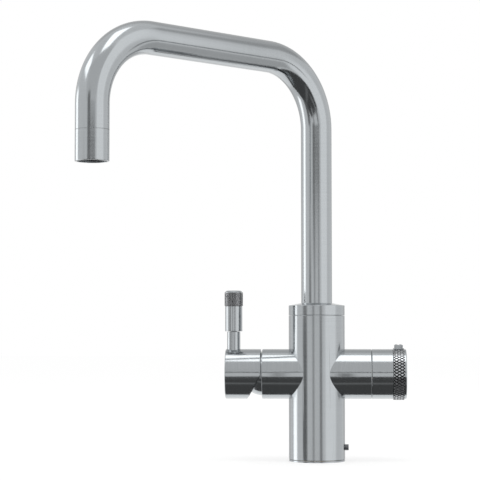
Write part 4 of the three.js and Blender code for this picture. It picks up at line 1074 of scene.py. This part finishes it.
# name, azimuth, elevation, degrees across, degrees tall, level, how far its edges fade across and up,
# and its distance where that isn't FAR
FAR_PANELS = (
    ("flag_left", -48.3, -23, 27, 60, 0.2, (0.65, 0.27)),
    ("flag_middle_left", -13, 0, 12, 56, 0.5, (0.8, 0.3)),
    ("flag_middle_right", 17.4, -23, 15, 60, 0.31, (0.8, 0.3)),
    ("screen_right", 60, 8, 62, 100, 1.35, (0.4, 0.3)),
    ("screen_front_high", 0, 37, 70, 48, 0.85, (0.1, 0.1)),
    ("line_over_front", 0, 8, 60, 5, 0.1, (0.4, 0.5)),
    ("line_low_right", 90, -13, 50, 6, 0.3, (0.4, 0.5)),
    ("ground_right", 108, -36, 50, 28, 0.7, (0.3, 0.2)),
    ("ground_back_right", 148, -47, 40, 6, 0.2, (0.3, 0.4)),
    ("screen_back_right", 118, 42, 40, 26, 0.6, (0.5, 0.5)),
    ("screen_back_high", 180, 40, 80, 60, 0.7, (0.5, 0.5)),
    ("screen_back_low", 180, -46, 70, 44, 1.3, (0.3, 0.1)),
    ("flag_back_left", -152, 4, 40, 60, 0.75, (0.5, 0.3)),
    ("flag_back_right", 155, 4, 40, 60, 0.75, (0.5, 0.3)),
    ("softbox_top_glow", 0, 79.5, 24, 38, 2.7, (0.2, 0.1)),
    ("dark_ground_front", 0, -61, 80, 100, 0.1, (0.03, 0.03), 3.5),
    ("grey_strip_ground", 0, -44, 70, 10, 0.25, (0.5, 0.5), 3.0),
)

# name, place, what it faces, width, height, level, how far its edges fade across and up
NEAR_PANELS = (
    ("flag_high", (-0.49, -1.47, 0.49), (0, 0, 0.49), 0.46, 0.52, 0.3, (0.25, 0.3)),
    ("strip_left", (-0.95, 0.14, 0), (0, 0.14, 0), 0.44, 1.2, 2.5, (0.35, 0.2)),
    ("strip_left_high", (-0.95, -0.38, 1.13), (0, -0.38, 1.13), 0.75, 0.6, 2.6, (0.3, 0.3)),
)


def aimed(thing, place, aim):
    thing.location = place
    thing.rotation_euler = (Vector(aim) - Vector(place)).to_track_quat("-Z", "Y").to_euler()


def flat(name, half_x, half_y):
    """A level rectangle round the origin."""
    mesh = bpy.data.meshes.new(name)
    corners = [(-half_x, -half_y, 0), (half_x, -half_y, 0), (half_x, half_y, 0), (-half_x, half_y, 0)]
    mesh.from_pydata(corners, [], [(0, 1, 2, 3)])
    thing = bpy.data.objects.new(name, mesh)
    scene.collection.objects.link(thing)
    return thing


def panel(name, place, aim, width, height, level, soft):
    """A studio panel, light or dark, that only mirrors see. soft is how far its edges fade, across and up."""
    half = (width / 2, height / 2)
    thing = flat(name, *half)
    aimed(thing, place, aim)
    thing.data.materials.append(card_material(name, half, level, soft))
    for ray in ("camera", "diffuse", "transmission", "volume_scatter", "shadow"):
        setattr(thing, "visible_" + ray, False)


def far_panel(name, azimuth, elevation, across, tall, level, soft, distance=FAR):
    """A panel seen under so many degrees. Azimuth 0 is the user's side, and 90 is +X."""
    turn, rise = math.radians(azimuth), math.radians(elevation)
    heading = Vector((math.sin(turn) * math.cos(rise), -math.cos(turn) * math.cos(rise), math.sin(rise)))
    width = 2 * distance * math.tan(math.radians(across / 2))
    height = 2 * distance * math.tan(math.radians(tall / 2))
    panel(name, STUDIO_AIM + distance * heading, STUDIO_AIM, width, height, level, soft)


def card_material(name, half, level, soft):
    """A glow that fades to nothing at the edges."""
    nodes = Nodes(name)
    split = nodes.add("ShaderNodeSeparateXYZ")
    nodes.link(nodes.place_in_object(), split.inputs["Vector"])
    fades = []
    for axis, reach, fading in zip(("X", "Y"), half, soft):
        offset = nodes.calculated("ABSOLUTE", split.outputs[axis])
        edge = (reach * (1 - fading), reach)
        fades.append(nodes.spread(offset, 1, 0, edge, interpolation_type="SMOOTHSTEP"))
    both = nodes.calculated("MULTIPLY", *fades)
    glow = nodes.add("ShaderNodeEmission")
    glow.inputs["Color"].default_value = (1, 1, 1, 1)
    glow.inputs["Strength"].default_value = level
    clear = nodes.add("ShaderNodeBsdfTransparent")
    return nodes.finished(nodes.mixed(both, clear.outputs["BSDF"], glow.outputs["Emission"]))


FLOOR_HALF = 6
FLOOR_WHITE = 0.98
FLOOR_GLOW = 0.7


def make_floor():
    """A white floor that takes soft shadows, with a glow. Mirrors see the studio's panels through it."""
    floor = flat("floor", FLOOR_HALF, FLOOR_HALF)
    nodes = Nodes("floor_white")
    diffuse = nodes.add("ShaderNodeBsdfDiffuse")
    diffuse.inputs["Color"].default_value = (FLOOR_WHITE, FLOOR_WHITE, FLOOR_WHITE, 1)
    glow = nodes.add("ShaderNodeEmission")
    rays = nodes.add("ShaderNodeLightPath")
    seen = nodes.calculated("MAXIMUM", rays.outputs["Is Camera Ray"], rays.outputs["Is Glossy Ray"])
    share = nodes.calculated("MULTIPLY", seen, FLOOR_GLOW)
    white = nodes.mixed(share, diffuse.outputs["BSDF"], glow.outputs["Emission"])
    floor.data.materials.append(nodes.finished(white))
    floor.visible_glossy = False


def make_world():
    world = bpy.data.worlds.new("studio")
    scene.world = world
    world.use_nodes = True
    tree = world.node_tree
    tree.nodes.clear()
    output = tree.nodes.new("ShaderNodeOutputWorld")
    background = tree.nodes.new("ShaderNodeBackground")
    background.inputs["Color"].default_value = (1, 1, 1, 1)
    background.inputs["Strength"].default_value = 1
    tree.links.new(background.outputs["Background"], output.inputs["Surface"])


def make_lamp(name, place, aim, size, power):
    data = bpy.data.lights.new(name, "AREA")
    data.shape = "RECTANGLE"
    data.size, data.size_y = size
    data.energy = power
    light = bpy.data.objects.new(name, data)
    scene.collection.objects.link(light)
    aimed(light, place, aim)
    light.visible_camera = False
    light.visible_glossy = False


def make_studio():
    make_world()
    make_floor()
    for settings in FAR_PANELS:
        far_panel(*settings)
    for settings in NEAR_PANELS:
        panel(*settings)
    make_lamp("softbox_top", place=(0, -0.35, 1.5), aim=(0, 0, 0.1), size=(1.6, 0.35), power=6)


# ------------------------------------------------------------------ the whole

make_camera()
scene.view_settings.view_transform = "Standard"
dress_frame()
make_body()
make_base_ring()
make_clamp_screw()
make_dome()
make_handle_cap()
make_lever()
make_boiling_handle()
make_button()
make_collar()
make_tube()
make_outlet()
make_screws()
make_tails()
make_studio()
